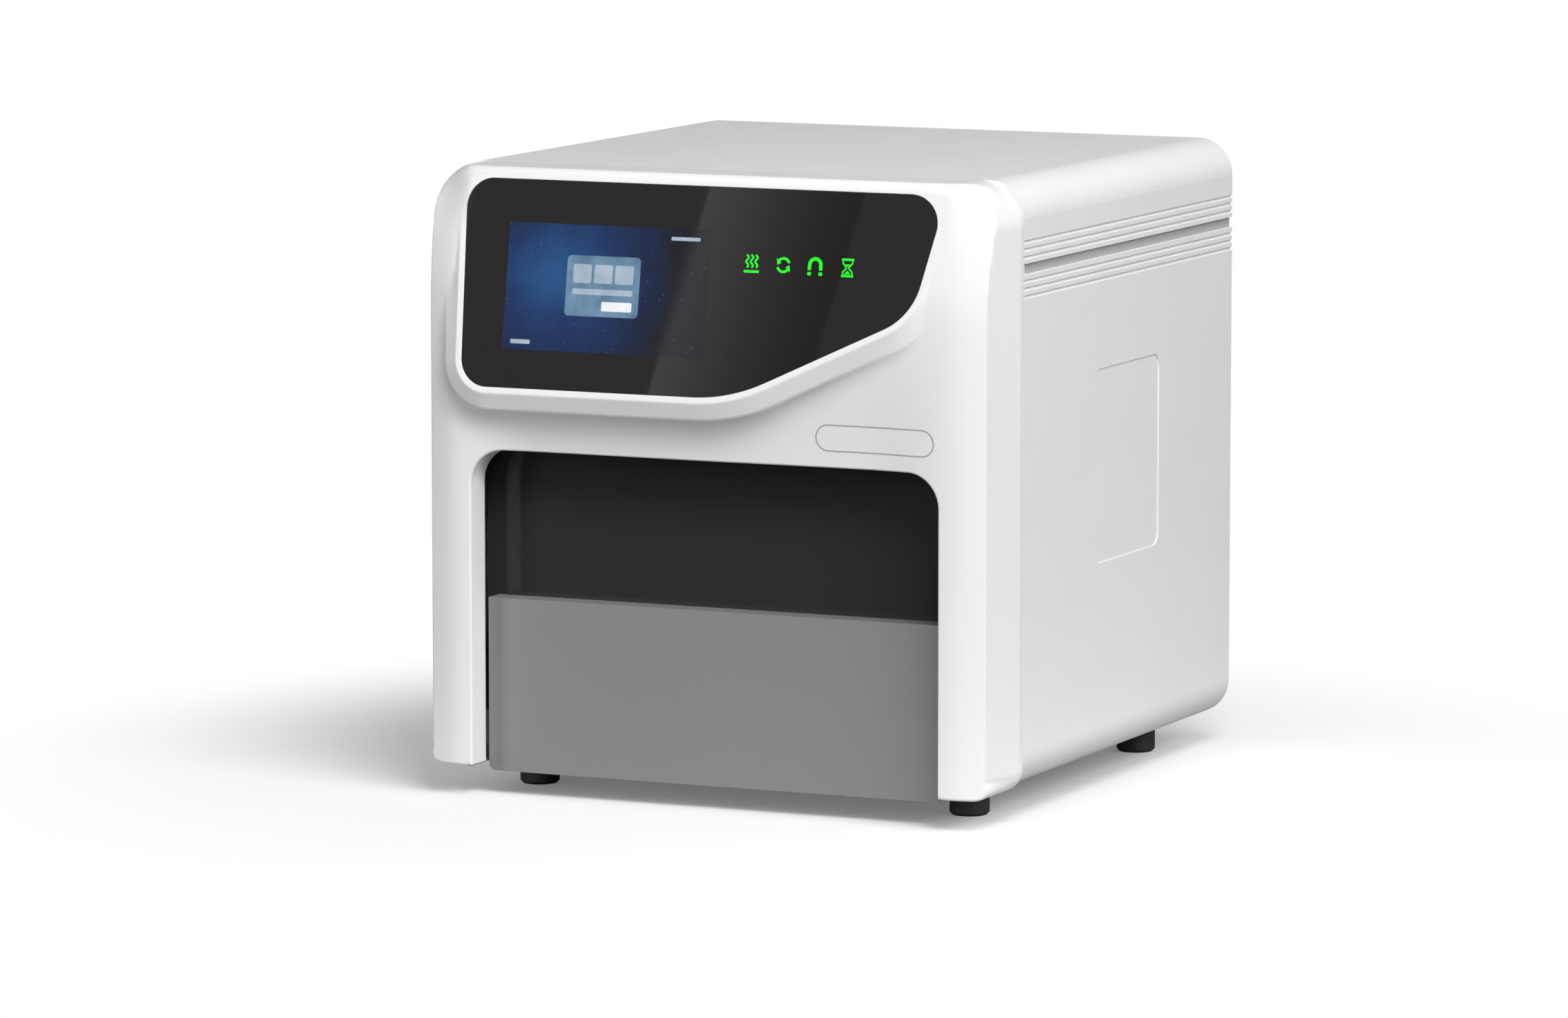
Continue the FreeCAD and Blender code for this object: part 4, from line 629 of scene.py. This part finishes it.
def glass_seat(skin):
    """The rounded lip round the glass, the recess's wall and the ledge that the glass lies on."""
    edge_points, facing = glass.ring(GLASS_GAP + GLASS_EDGE)
    place = leaning(edge_points[:, 0], edge_points[:, 1], 0.0)
    proud = (depth_at(place[:, 0], place[:, 2]) - place[:, 1]) * math.cos(LEAN)
    rows, ways = [], []
    for angle in QUARTER:
        points = edge_points - facing * GLASS_EDGE * math.sin(angle)
        rows.append(leaning(points[:, 0], points[:, 1], proud + GLASS_EDGE * (1 - math.cos(angle))))
        ways.append(leaning_way(-facing[:, 0] * math.sin(angle), -facing[:, 1] * math.sin(angle),
                                -math.cos(angle)))
    rows.append(leaning(points[:, 0], points[:, 1], GLASS_DEEP))
    ways.append(leaning_way(-facing[:, 0], -facing[:, 1], 0.0))
    skin.loft(rows, ways)
    inner = edge_points - facing * GLASS_LEDGE
    ahead = leaning_way(np.zeros(len(inner)), np.zeros(len(inner)), -1.0)
    skin.loft([rows[-1], leaning(inner[:, 0], inner[:, 1], GLASS_DEEP)], [ahead, ahead])


def front_moulding():
    """The bezel, in place of its plain solid."""
    skin = Skin()
    front_skin(skin)
    casing_wall(skin)
    opening_wall(skin)
    glass_seat(skin)
    piece = skin.made("bezel_moulding", FINISHES["bezel_shell"])
    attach(piece, "cabinet")
    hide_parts("front_bezel")


front_moulding()


# ---- display, function lights and badge ---------------------
#
# Thin inlays on the control glass, drawn in millimetres in the brow's own axes.

GLASS_SINK = 0.3
BLACK, SHEEN, GLOSS = (0.01, 0.01, 0.01), 0.03, 0.4      # the unlit surface of what glows

# Rounded rectangles: left, low, right and high edges, and corner radius.
SCREEN = (-148.3, -47.2, 5.5, 41.3, 0.6)
PANEL = (-102, -22, -46, 20, 3)
TILES = [(left, 1, left + 14, 14, 1.5) for left in (-97, -81, -65)]
BARS = [(-97, -7, -51, -3, 0.8), (-142, -43, -127, -40, 0.8), (-24, 33, -2, 35.5, 0.8)]
BUTTON = (-74, -18, -51, -11.5, 1)
PICTURE_LIFT, PANEL_LIFT, TILE_LIFT = 0.1, 0.17, 0.24    # how far each stands above the glass

GLOW_PLACE = (0.27, 0.62)        # the picture's brightest spot, as shares of its width and height
GLOW_NEAR, GLOW_FAR = 0.02, 0.115
CLOUDS, CLOUD_REACH = 28, 0.05   # across a metre, and how far they push the glow's edge
STARS_PER_METRE, STAR_EDGE, STAR_RARE = 300, (0.06, 0.16), 0.6

ICON_MIDDLES = (37.7, 61.5, 85.3, 109.5)
ICON_UP = 19.4
BADGE = (84.0, 258.0, 174.6, 276.8)      # left, low, right and high edges, in x and height
BADGE_LINE, BADGE_RISE, BADGE_SINK = 0.8, 0.12, -0.1
BADGE_STEPS = (16, 36)           # lengths round each corner and along each long edge


def arc(middle, radius, start, end, steps=20):
    """Points of an arc, with its angles in degrees."""
    angles = np.radians(np.linspace(start, end, steps + 1))
    return np.array(middle) + radius * np.stack([np.cos(angles), np.sin(angles)], axis=1)


def slab(left, low, right, high, radius, steps=6, along=1):
    """A rounded rectangle's outline, with its long edges cut into so many lengths."""
    level = np.linspace(0, 1, along + 1)[1:-1, None]
    middles = [(right - radius, high - radius), (left + radius, high - radius),
               (left + radius, low + radius), (right - radius, low + radius)]
    first, second, third, fourth = (arc(middle, radius, 90 * turn, 90 * turn + 90, steps)
                                    for turn, middle in enumerate(middles))
    return np.concatenate([first, first[-1] + (second[0] - first[-1]) * level, second,
                           third, third[-1] + (fourth[0] - third[-1]) * level, fourth])


def stroke(line, width):
    """The outline of a pen stroke along a line."""
    line = np.asarray(line, float)
    ahead = np.gradient(line, axis=0)
    ahead /= np.linalg.norm(ahead, axis=1)[:, None]
    side = np.stack([-ahead[:, 1], ahead[:, 0]], axis=1) * width / 2
    return np.concatenate([line + side, (line - side)[::-1]])


def inlay(name, outlines, lift, material):
    """Outlines as thin plates that lie on the glass."""
    points, faces = [], []
    for outline in outlines:
        start, count = len(points), len(outline)
        for deep in (GLASS_SINK - lift, GLASS_SINK):
            points += leaning(*np.asarray(outline).T, deep).tolist()
        flat = tessellate_polygon([[Vector((*point, 0)) for point in outline]])
        faces += [tuple(start + corner for corner in corners) for corners in flat]
        for place in range(count):
            here, after = start + place, start + (place + 1) % count
            faces.append((here, here + count, after + count, after))
    mesh = mesh_of(name, ((np.array(points) + (0, FRONT, 0)) * MM).tolist(), faces, material)
    turn_outward(mesh)
    thing = linked(name, mesh)
    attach(thing, "cabinet")


def lit(name, color, strength=1.0, spread=0.08):
    """A glowing print under the glass, a little uneven."""
    made = Shader(name, BLACK, SHEEN, Specular_IOR_Level=GLOSS)
    made.feed(made.surface["Emission Color"], color)
    made.feed(made.surface["Emission Strength"], made.varied(made.noise(60), strength, spread))
    return made.material


def night_sky():
    """The display's background: a blue glow in the dark with scattered points of light."""
    made = Shader("display_picture", (0.012, 0.012, 0.014), SHEEN, Specular_IOR_Level=GLOSS)
    left, low, right, high, _ = SCREEN
    across, up = left + GLOW_PLACE[0] * (right - left), low + GLOW_PLACE[1] * (high - low)
    middle = leaning([across], [up], 0.0)[0] + (0, FRONT, 0)
    from_glow = made.add("ShaderNodeVectorMath", operation="DISTANCE")
    made.feed(from_glow.inputs[0], made.place)
    made.feed(from_glow.inputs[1], middle * MM)
    cloudy = made.number("MULTIPLY_ADD", made.noise(CLOUDS, 4), CLOUD_REACH, from_glow.outputs["Value"])
    sky = made.add("ShaderNodeValToRGB")
    made.feed(sky.inputs["Fac"], made.ramp(cloudy, 1.0, 0.0, GLOW_NEAR, GLOW_FAR))
    stops = sky.color_ramp.elements
    stops[0].color = (0.0006, 0.0012, 0.005, 1)
    stops[1].color = (0.012, 0.085, 0.25, 1)
    stops.new(0.5).color = (0.001, 0.022, 0.10, 1)
    cells = made.add("ShaderNodeTexVoronoi", feature="F1")
    made.feed(cells.inputs["Scale"], STARS_PER_METRE)
    made.feed(cells.inputs["Vector"], made.place)
    chance = made.add("ShaderNodeSeparateColor")
    made.feed(chance.inputs[0], cells.outputs["Color"])
    star = made.number("MULTIPLY", made.ramp(cells.outputs["Distance"], 1.0, 0.0, *STAR_EDGE),
                       made.ramp(chance.outputs[0], 0.0, 0.5, STAR_RARE))
    made.feed(made.surface["Emission Color"], made.mixed(star, sky.outputs[0], (0.25, 0.42, 0.70)))
    made.feed(made.surface["Emission Strength"], 1.0)
    return made.material


def display_picture():
    """The lit display with a plain start page: three tiles, a bar and a button on a pale panel."""
    for name, plates, lift, material in (
            ("picture", [SCREEN], PICTURE_LIFT, night_sky()),
            ("panel", [PANEL], PANEL_LIFT, lit("panel_glow", (0.13, 0.24, 0.36), spread=0.3)),
            ("tiles", TILES + BARS, TILE_LIFT, lit("tile_glow", (0.38, 0.47, 0.57), spread=0.15)),
            ("button", [BUTTON], TILE_LIFT, lit("button_glow", (0.85, 0.87, 0.90)))):
        inlay(f"display_{name}", [slab(*plate) for plate in plates], lift, material)


def heat_icon():
    """Three waves of heat over a plate."""
    rise = np.linspace(-2.6, 6.2, 25)
    waves = [stroke(np.stack([x + 0.9 * np.sin((rise + 2.6) * 1.15), rise], axis=1), 1.35)
             for x in (-3.4, 0.0, 3.4)]
    return waves + [slab(-5.8, -6.2, 5.8, -4.4, 0.7)]


def mixing_icon():
    """Two arrows that chase each other round."""
    shapes = []
    for start in (20, 200):
        end = start + 118
        shapes.append(stroke(arc((0, 0), 4.6, start, end), 1.8))
        outside, tip, inside = (arc((0, 0), radius, angle, angle, 0)
                                for radius, angle in ((7.0, end), (4.6, start + 160), (2.2, end)))
        shapes.append(np.concatenate([outside, tip, inside]))
    return shapes


def magnet_icon():
    """A horseshoe magnet with its poles apart."""
    bow = np.concatenate([[(4.2, -2.6)], arc((0, 1.0), 4.2, 0, 180), [(-4.2, -2.6)]])
    return [stroke(bow, 2.5)] + [slab(x - 1.35, -6.2, x + 1.35, -3.9, 0.3) for x in (-4.2, 4.2)]


def timer_icon():
    """An hourglass with sand in both halves."""
    caps = [slab(-4.6, level - 0.8, 4.6, level + 0.8, 0.4) for level in (-5.6, 5.6)]
    walls = [stroke([(side * 3.6, 4.6), (side * 3.4, 3.0), (side * 0.9, 0.3), (side * 0.9, -0.3),
                     (side * 3.4, -3.0), (side * 3.6, -4.6)], 1.1) for side in (-1, 1)]
    return caps + walls + [[(-1.9, 2.4), (1.9, 2.4), (0, 0.7)], [(-2.4, -4.4), (0, -1.9), (2.4, -4.4)]]


def function_lights():
    """The four green function symbols."""
    glow = lit("symbol_glow", (0.015, 0.95, 0.03), 1.05, 0.05)
    for name, middle, shapes in zip(("heat", "mixing", "magnet", "timer"), ICON_MIDDLES,
                                    (heat_icon(), mixing_icon(), magnet_icon(), timer_icon())):
        moved = [np.asarray(shape) + (middle, ICON_UP) for shape in shapes]
        inlay(f"{name}_symbol", moved, PICTURE_LIFT, glow)


def badge_line():
    """The plain oval line of the badge, raised a little from the bezel; its grey is painted shade for the
    groove round the badge.
    """
    left, low, right, high = BADGE
    skin = Skin()
    rows, ways = [], []
    for inset, rise in ((0, BADGE_SINK), (0, BADGE_RISE), (BADGE_LINE, BADGE_RISE),
                        (BADGE_LINE, BADGE_SINK)):
        loop = slab(left + inset, low + inset, right - inset, high - inset,
                    (high - low) / 2 - inset, *BADGE_STEPS)
        y = depth_at(loop[:, 0], loop[:, 1])
        facing = normal_at(loop[:, 0], y, loop[:, 1])
        rows.append(upright(loop, y) + facing * rise)
        ways.append(facing)
    skin.loft(rows, ways)
    # A mid grey against the white moulding: painted shade where the badge's groove would be dark.
    piece = skin.made("badge_line", moulded("badge_groove_shade", (0.36, 0.36, 0.36), 0.4))
    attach(piece, "cabinet")


display_picture()
function_lights()
badge_line()


# ---- screws, wire guard, rods and painted groove shade ------
#
# Turned pieces are given as sections of (radius, distance along, number of flats or 0), in mm.

ROUND, WIRE_ROUND, RING_STEPS = 32, 10, 72
SHARP = math.radians(32)        # faces that meet at a steeper angle keep their edge
WIRE_SHARP = math.radians(60)

SCREW_HEAD = [(3.0, 0, 0), (3.0, 0.5, 0), (2.85, 0.95, 0), (2.5, 1.3, 0), (1.95, 1.55, 0), (1.5, 1.6, 0),
              (1.25, 1.6, 6), (1.25, 0.5, 6), (0.6, 0.3, 0)]
GUARD_RINGS = (1.0, 0.865, 0.73, 0.595, 0.46, 0.325)      # radii as shares of the largest
GUARD_SPOKE = (0.16, 0.45, 0.75, 1.0)
GUARD_DISC = [(0.210, -0.8), (0.225, -0.4), (0.225, 0.3), (0.205, 0.8)]      # such a share, and a depth
ROD_TIP = [(0.35, 0), (0.75, 0.5), (1.0, 2.4)]            # shares of the radius, and heights over the tip
ROD_END, ROD_CHAMFER = 0.85, 0.5

# The wide groove in the housing's side: its low edge below the top, its height and its depth.
GROOVE_DROP, GROOVE_TALL, GROOVE_DEEP = 64.4, 7.7, 2.2
FLOOR_LIFT, FLOOR_BACK, FLOOR_CHAMFER, FLOOR_GAP = 0.06, 0.5, 0.3, 0.2


def solids(label):
    """The boxes round a CAD node's separate solids, as low and high corners in metres."""
    thing = frame["nodes"][label]
    places = [thing.matrix_world @ vertex.co for vertex in thing.data.vertices]
    group = {}

    def root(key):
        while group[key] != key:
            key = group[key]
        return key

    keys = [tuple(round(length, 6) for length in place) for place in places]
    for key in keys:
        group[key] = key
    for edge in thing.data.edges:
        first, second = (root(keys[vertex]) for vertex in edge.vertices)
        group[first] = second
    found = {}
    for key in set(keys):
        found.setdefault(root(key), []).append(key)
    return [(np.min(points, axis=0), np.max(points, axis=0)) for points in found.values()]


def turned(sections, place, axis):
    """Rings of points about an axis through a place, one for each section."""
    axis = Vector(axis)
    across = axis.orthogonal().normalized()
    second = axis.cross(across)
    angles = np.arange(ROUND) * math.tau / ROUND
    rings = []
    for radius, along, flats in sections:
        reach = np.full(ROUND, radius)
        if flats:
            step = math.tau / flats
            reach = radius / np.cos(angles % step - step / 2)
        rings.append([Vector(place) + axis * along * MM
                      + (across * math.cos(angle) + second * math.sin(angle)) * far * MM
                      for angle, far in zip(angles, reach)])
    return rings


def lathed(name, turnings, body, finish):
    """One piece made of several turned solids."""
    points, faces = [], []
    for rings in turnings:
        start = len(points)
        points += [tuple(point) for ring in rings for point in ring]
        faces += bands(len(rings), ROUND, start)
        faces.append(tuple(range(start + ROUND - 1, start - 1, -1)))
        faces.append(tuple(start + (len(rings) - 1) * ROUND + place for place in range(ROUND)))
    return piece_of(name, points, faces, FINISHES[finish], body)


def piece_of(name, points, faces, material, body, sharp=SHARP):
    """A mesh piece with smooth faces and sharp edges, that rides a body."""
    mesh = mesh_of(name, points, faces, material)
    turn_outward(mesh)
    mesh.shade_smooth()
    mesh.set_sharp_from_angle(angle=sharp)
    thing = linked(name, mesh)
    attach(thing, body)
    return thing


def panel_screws():
    """Button-head screws with hexagon sockets round the rear panel."""
    heads = []
    for low, high in solids("case_screws"):
        middle = (low + high) / 2
        middle[1] = low[1]
        heads.append(turned(SCREW_HEAD, middle, (0, 1, 0)))
    piece = lathed("panel_screw_heads", heads, "cabinet", "fastener_steel")
    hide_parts("case_screws")


def wire(line, radius, closed=False):
    """The points and faces of a round wire along a line that lies across Y, in metres."""
    line = [Vector(point) for point in line]
    count, sides, points = len(line), WIRE_ROUND, []
    for place, point in enumerate(line):
        before = line[place - 1] if place or closed else point
        after = line[(place + 1) % count] if place < count - 1 or closed else point
        ahead = (after - before).normalized()
        across = ahead.cross(Vector((0, 1, 0))).normalized()
        second = ahead.cross(across)
        points += [tuple(point + (across * math.cos(angle) + second * math.sin(angle)) * radius)
                   for angle in (math.tau * step / sides for step in range(sides))]
    faces = bands(count, sides, looped=closed)
    if not closed:
        last = (count - 1) * sides
        faces += [tuple(range(sides)), tuple(last + step for step in reversed(range(sides)))]
    return points, faces


def wire_guard():
    """The fan's guard: wire rings on four spokes, with a small disc at the middle."""
    low, high = (np.array(corner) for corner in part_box("fan_guard"))
    middle = (low + high) / 2
    thick = (high[1] - low[1]) / 2
    reach = (high[0] - low[0]) / 2 - thick

    def outwards(angle):
        return np.array([math.cos(angle), 0, math.sin(angle)]) * reach

    around = [outwards(math.tau * step / RING_STEPS) for step in range(RING_STEPS)]
    parts = [wire([middle + way * share for way in around], thick, closed=True) for share in GUARD_RINGS]
    parts += [wire([middle + outwards(turn * math.pi / 2) * share for share in GUARD_SPOKE], thick)
              for turn in range(4)]
    points, faces = [], []
    for some_points, some_faces in parts:
        faces += [tuple(len(points) + corner for corner in corners) for corners in some_faces]
        points += some_points
    piece = piece_of("fan_guard_wires", points, faces, FINISHES["fastener_steel"], "cabinet",
                     WIRE_SHARP)
    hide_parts("fan_guard")
    disc = turned([(reach * share / MM, depth, 0) for share, depth in GUARD_DISC], middle, (0, 1, 0))
    lathed("fan_guard_disc", [disc], "cabinet", "fastener_steel")


def round_rods():
    """The magnet rods, round and with tapered tips."""
    rods = []
    for low, high in solids("magnet_rods"):
        middle = (low + high) / 2
        middle[2] = low[2]
        long, radius = (high[2] - low[2]) / MM, (high[0] - low[0]) / 2 / MM
        sections = ROD_TIP + [(1.0, long - ROD_CHAMFER), (ROD_END, long)]
        rods.append(turned([(radius * share, height, 0) for share, height in sections], middle, (0, 0, 1)))
    piece = lathed("magnet_rod_turnings", rods, "rod_plate", "ground_steel")
    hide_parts("magnet_rods")


def painted_groove_shade():
    """Grey strips on the floors of the wide grooves along both sides: painted shade where the grooves' shadow
    falls.
    """
    front, back = (corner[1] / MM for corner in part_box("housing_cover"))
    inner, outer = HALF - GROOVE_DEEP - FLOOR_BACK, HALF - GROOVE_DEEP + FLOOR_LIFT
    z_low = TOP - GROOVE_DROP
    z_high = z_low + GROOVE_TALL
    outline = [(inner, z_low), (outer - FLOOR_CHAMFER, z_low), (outer, z_low + FLOOR_CHAMFER),
               (outer, z_high - FLOOR_CHAMFER), (outer - FLOOR_CHAMFER, z_high), (inner, z_high)]
    count = len(outline)
    faces = bands(2, count) + [tuple(range(count)), tuple(range(2 * count - 1, count - 1, -1))]
    for name, side in (("left", -1), ("right", 1)):
        points = [(side * x * MM, y * MM, z * MM) for y in (front + FLOOR_GAP, back - FLOOR_GAP)
                  for x, z in outline]
        # A mid grey, darker than the white cover, that paints the shadow inside each wide groove.
        piece_of(f"groove_shade_strip_{name}", points, faces, coated(f"groove_painted_shade_{name}", (0.42, 0.42, 0.42), 0.5),
                 "cabinet")


panel_screws()
painted_groove_shade()
wire_guard()
round_rods()


# ---- floor, light and camera --------------------------------

FLOOR_REACH = 16.0
FLOOR_LIT, FLOOR_SEEN = 0.45, 0.84      # the floor's white for the object's light, and for the camera
FLOOR_OWN = 0.13                        # how much white of its own it has in the camera's view
FLOOR_FADE = (0.31, 0.66)               # how far out it turns plain white, in metres
AMBIENT = 0.24
AIM = (0, 0, 0.2)                       # what the lamps face
LAMPS = [                               # name, place, width and height, power
    ("key_light", (1.9, -2.3, 3.0), (1.6, 1.6), 100),
    ("right_light", (3.4, -1.4, 2.0), (1.6, 1.6), 90),
    ("left_light", (-2.6, -3.6, 1.2), (1.2, 2.4), 58),
    ("low_light", (0.6, -4.0, 0.6), (1.4, 0.8), 9),
    ("back_light", (0.4, 4.2, 0.8), (2.0, 1.2), 40),
]
CARD_TOP, CARD_LOW, CARD_WIDTH = (-1.655, -3.72, 1.379), (-1.763, -3.783, 0.938), (0.26, 0.118, 0)
CARD_LEVEL, CARD_FALL = 1.15, 1.6       # its brightness at the left edge, and how fast it fades

CAMERA_PLACE = (2.3134, -5.1697, 0.9163)
CAMERA_DOWN, CAMERA_TURN = 7.3176, 24.4274      # degrees below level, and to the left
CAMERA_LENS, CAMERA_SENSOR = 183.72, 36


def panel(name, corners, material):
    """A flat four-sided backdrop, with its spread from left to right and up as UV."""
    mesh = mesh_of(name, corners, [(0, 1, 2, 3)], material)
    mesh.uv_layers.new(name="spread")
    for loop, place in zip(mesh.uv_layers[0].data, ((0, 0), (1, 0), (1, 1), (0, 1))):
        loop.uv = place
    linked(name, mesh)


def white_floor():
    """A pale floor that keeps the object's shadow and turns plain white further out."""
    material, nodes = bare_material("floor_white")
    seen = nodes.seen_directly()
    diffuse = nodes.add("ShaderNodeBsdfDiffuse")
    nodes.feed(diffuse.inputs["Color"], nodes.ramp(seen, FLOOR_LIT, FLOOR_SEEN))
    near = nodes.add("ShaderNodeAddShader")
    nodes.feed(near.inputs[0], diffuse.outputs[0])
    nodes.feed(near.inputs[1], nodes.emission(nodes.number("MULTIPLY", seen, FLOOR_OWN)))
    far = nodes.add("ShaderNodeVectorMath", operation="LENGTH")
    nodes.feed(far.inputs[0], nodes.add("ShaderNodeNewGeometry").outputs["Position"])
    mix = nodes.add("ShaderNodeMixShader")
    nodes.feed(mix.inputs[0], nodes.ramp(far.outputs["Value"], 0.0, 1.0, *FLOOR_FADE,
                                         interpolation_type="SMOOTHSTEP"))
    nodes.feed(mix.inputs[1], near.outputs[0])
    nodes.feed(mix.inputs[2], nodes.emission(seen))
    nodes.feed(nodes.add("ShaderNodeOutputMaterial").inputs["Surface"], mix.outputs[0])
    reach = FLOOR_REACH
    panel("floor", [(-reach, -reach, 0), (reach, -reach, 0), (reach, reach, 0), (-reach, reach, 0)], material)


def reflected_card():
    """A faint card that shows in the right half of the control glass, bright at its left edge."""
    material, nodes = bare_material("card_glow")
    split = nodes.add("ShaderNodeSeparateXYZ")
    nodes.feed(split.inputs[0], nodes.add("ShaderNodeTexCoord").outputs["UV"])
    fall = nodes.number("POWER", nodes.ramp(split.outputs["X"], 1.0, 0.0), CARD_FALL)
    glow = nodes.emission(nodes.number("MULTIPLY", fall, CARD_LEVEL))
    nodes.feed(nodes.add("ShaderNodeOutputMaterial").inputs["Surface"], glow)
    low, top, width = Vector(CARD_LOW), Vector(CARD_TOP), Vector(CARD_WIDTH)
    panel("reflected_card", [low, low + width, top + width, top], material)


def studio():
    """Even white surroundings and soft rectangular lamps that face the object."""
    world = bpy.data.worlds.new("studio")
    nodes = Nodes(world)
    surroundings = nodes.tree.nodes["Background"].inputs
    nodes.feed(surroundings["Strength"], nodes.ramp(nodes.seen_directly(), AMBIENT, 1.0))
    nodes.feed(surroundings["Color"], (1.0, 1.0, 1.0))
    bpy.context.scene.world = world
    for name, place, size, power in LAMPS:
        lamp = bpy.data.lights.new(name, "AREA")
        lamp.shape = "RECTANGLE"
        lamp.size, lamp.size_y = size
        lamp.energy = power
        thing = linked(name, lamp)
        thing.location = place
        thing.rotation_euler = (Vector(AIM) - Vector(place)).to_track_quat("-Z", "Y").to_euler()
        thing.visible_glossy = name != "back_light"      # the lamp behind leaves no glare on the top


def camera():
    """The photograph's view: a long lens from the front right, a little above."""
    lens = bpy.data.cameras.new("camera")
    lens.lens = CAMERA_LENS
    lens.sensor_width = CAMERA_SENSOR
    thing = linked("camera", lens)
    thing.location = CAMERA_PLACE
    thing.rotation_euler = (math.radians(90 - CAMERA_DOWN), 0, math.radians(CAMERA_TURN))
    bpy.context.scene.camera = thing


white_floor()
reflected_card()
studio()
camera()
bpy.context.scene.view_settings.view_transform = "Standard"
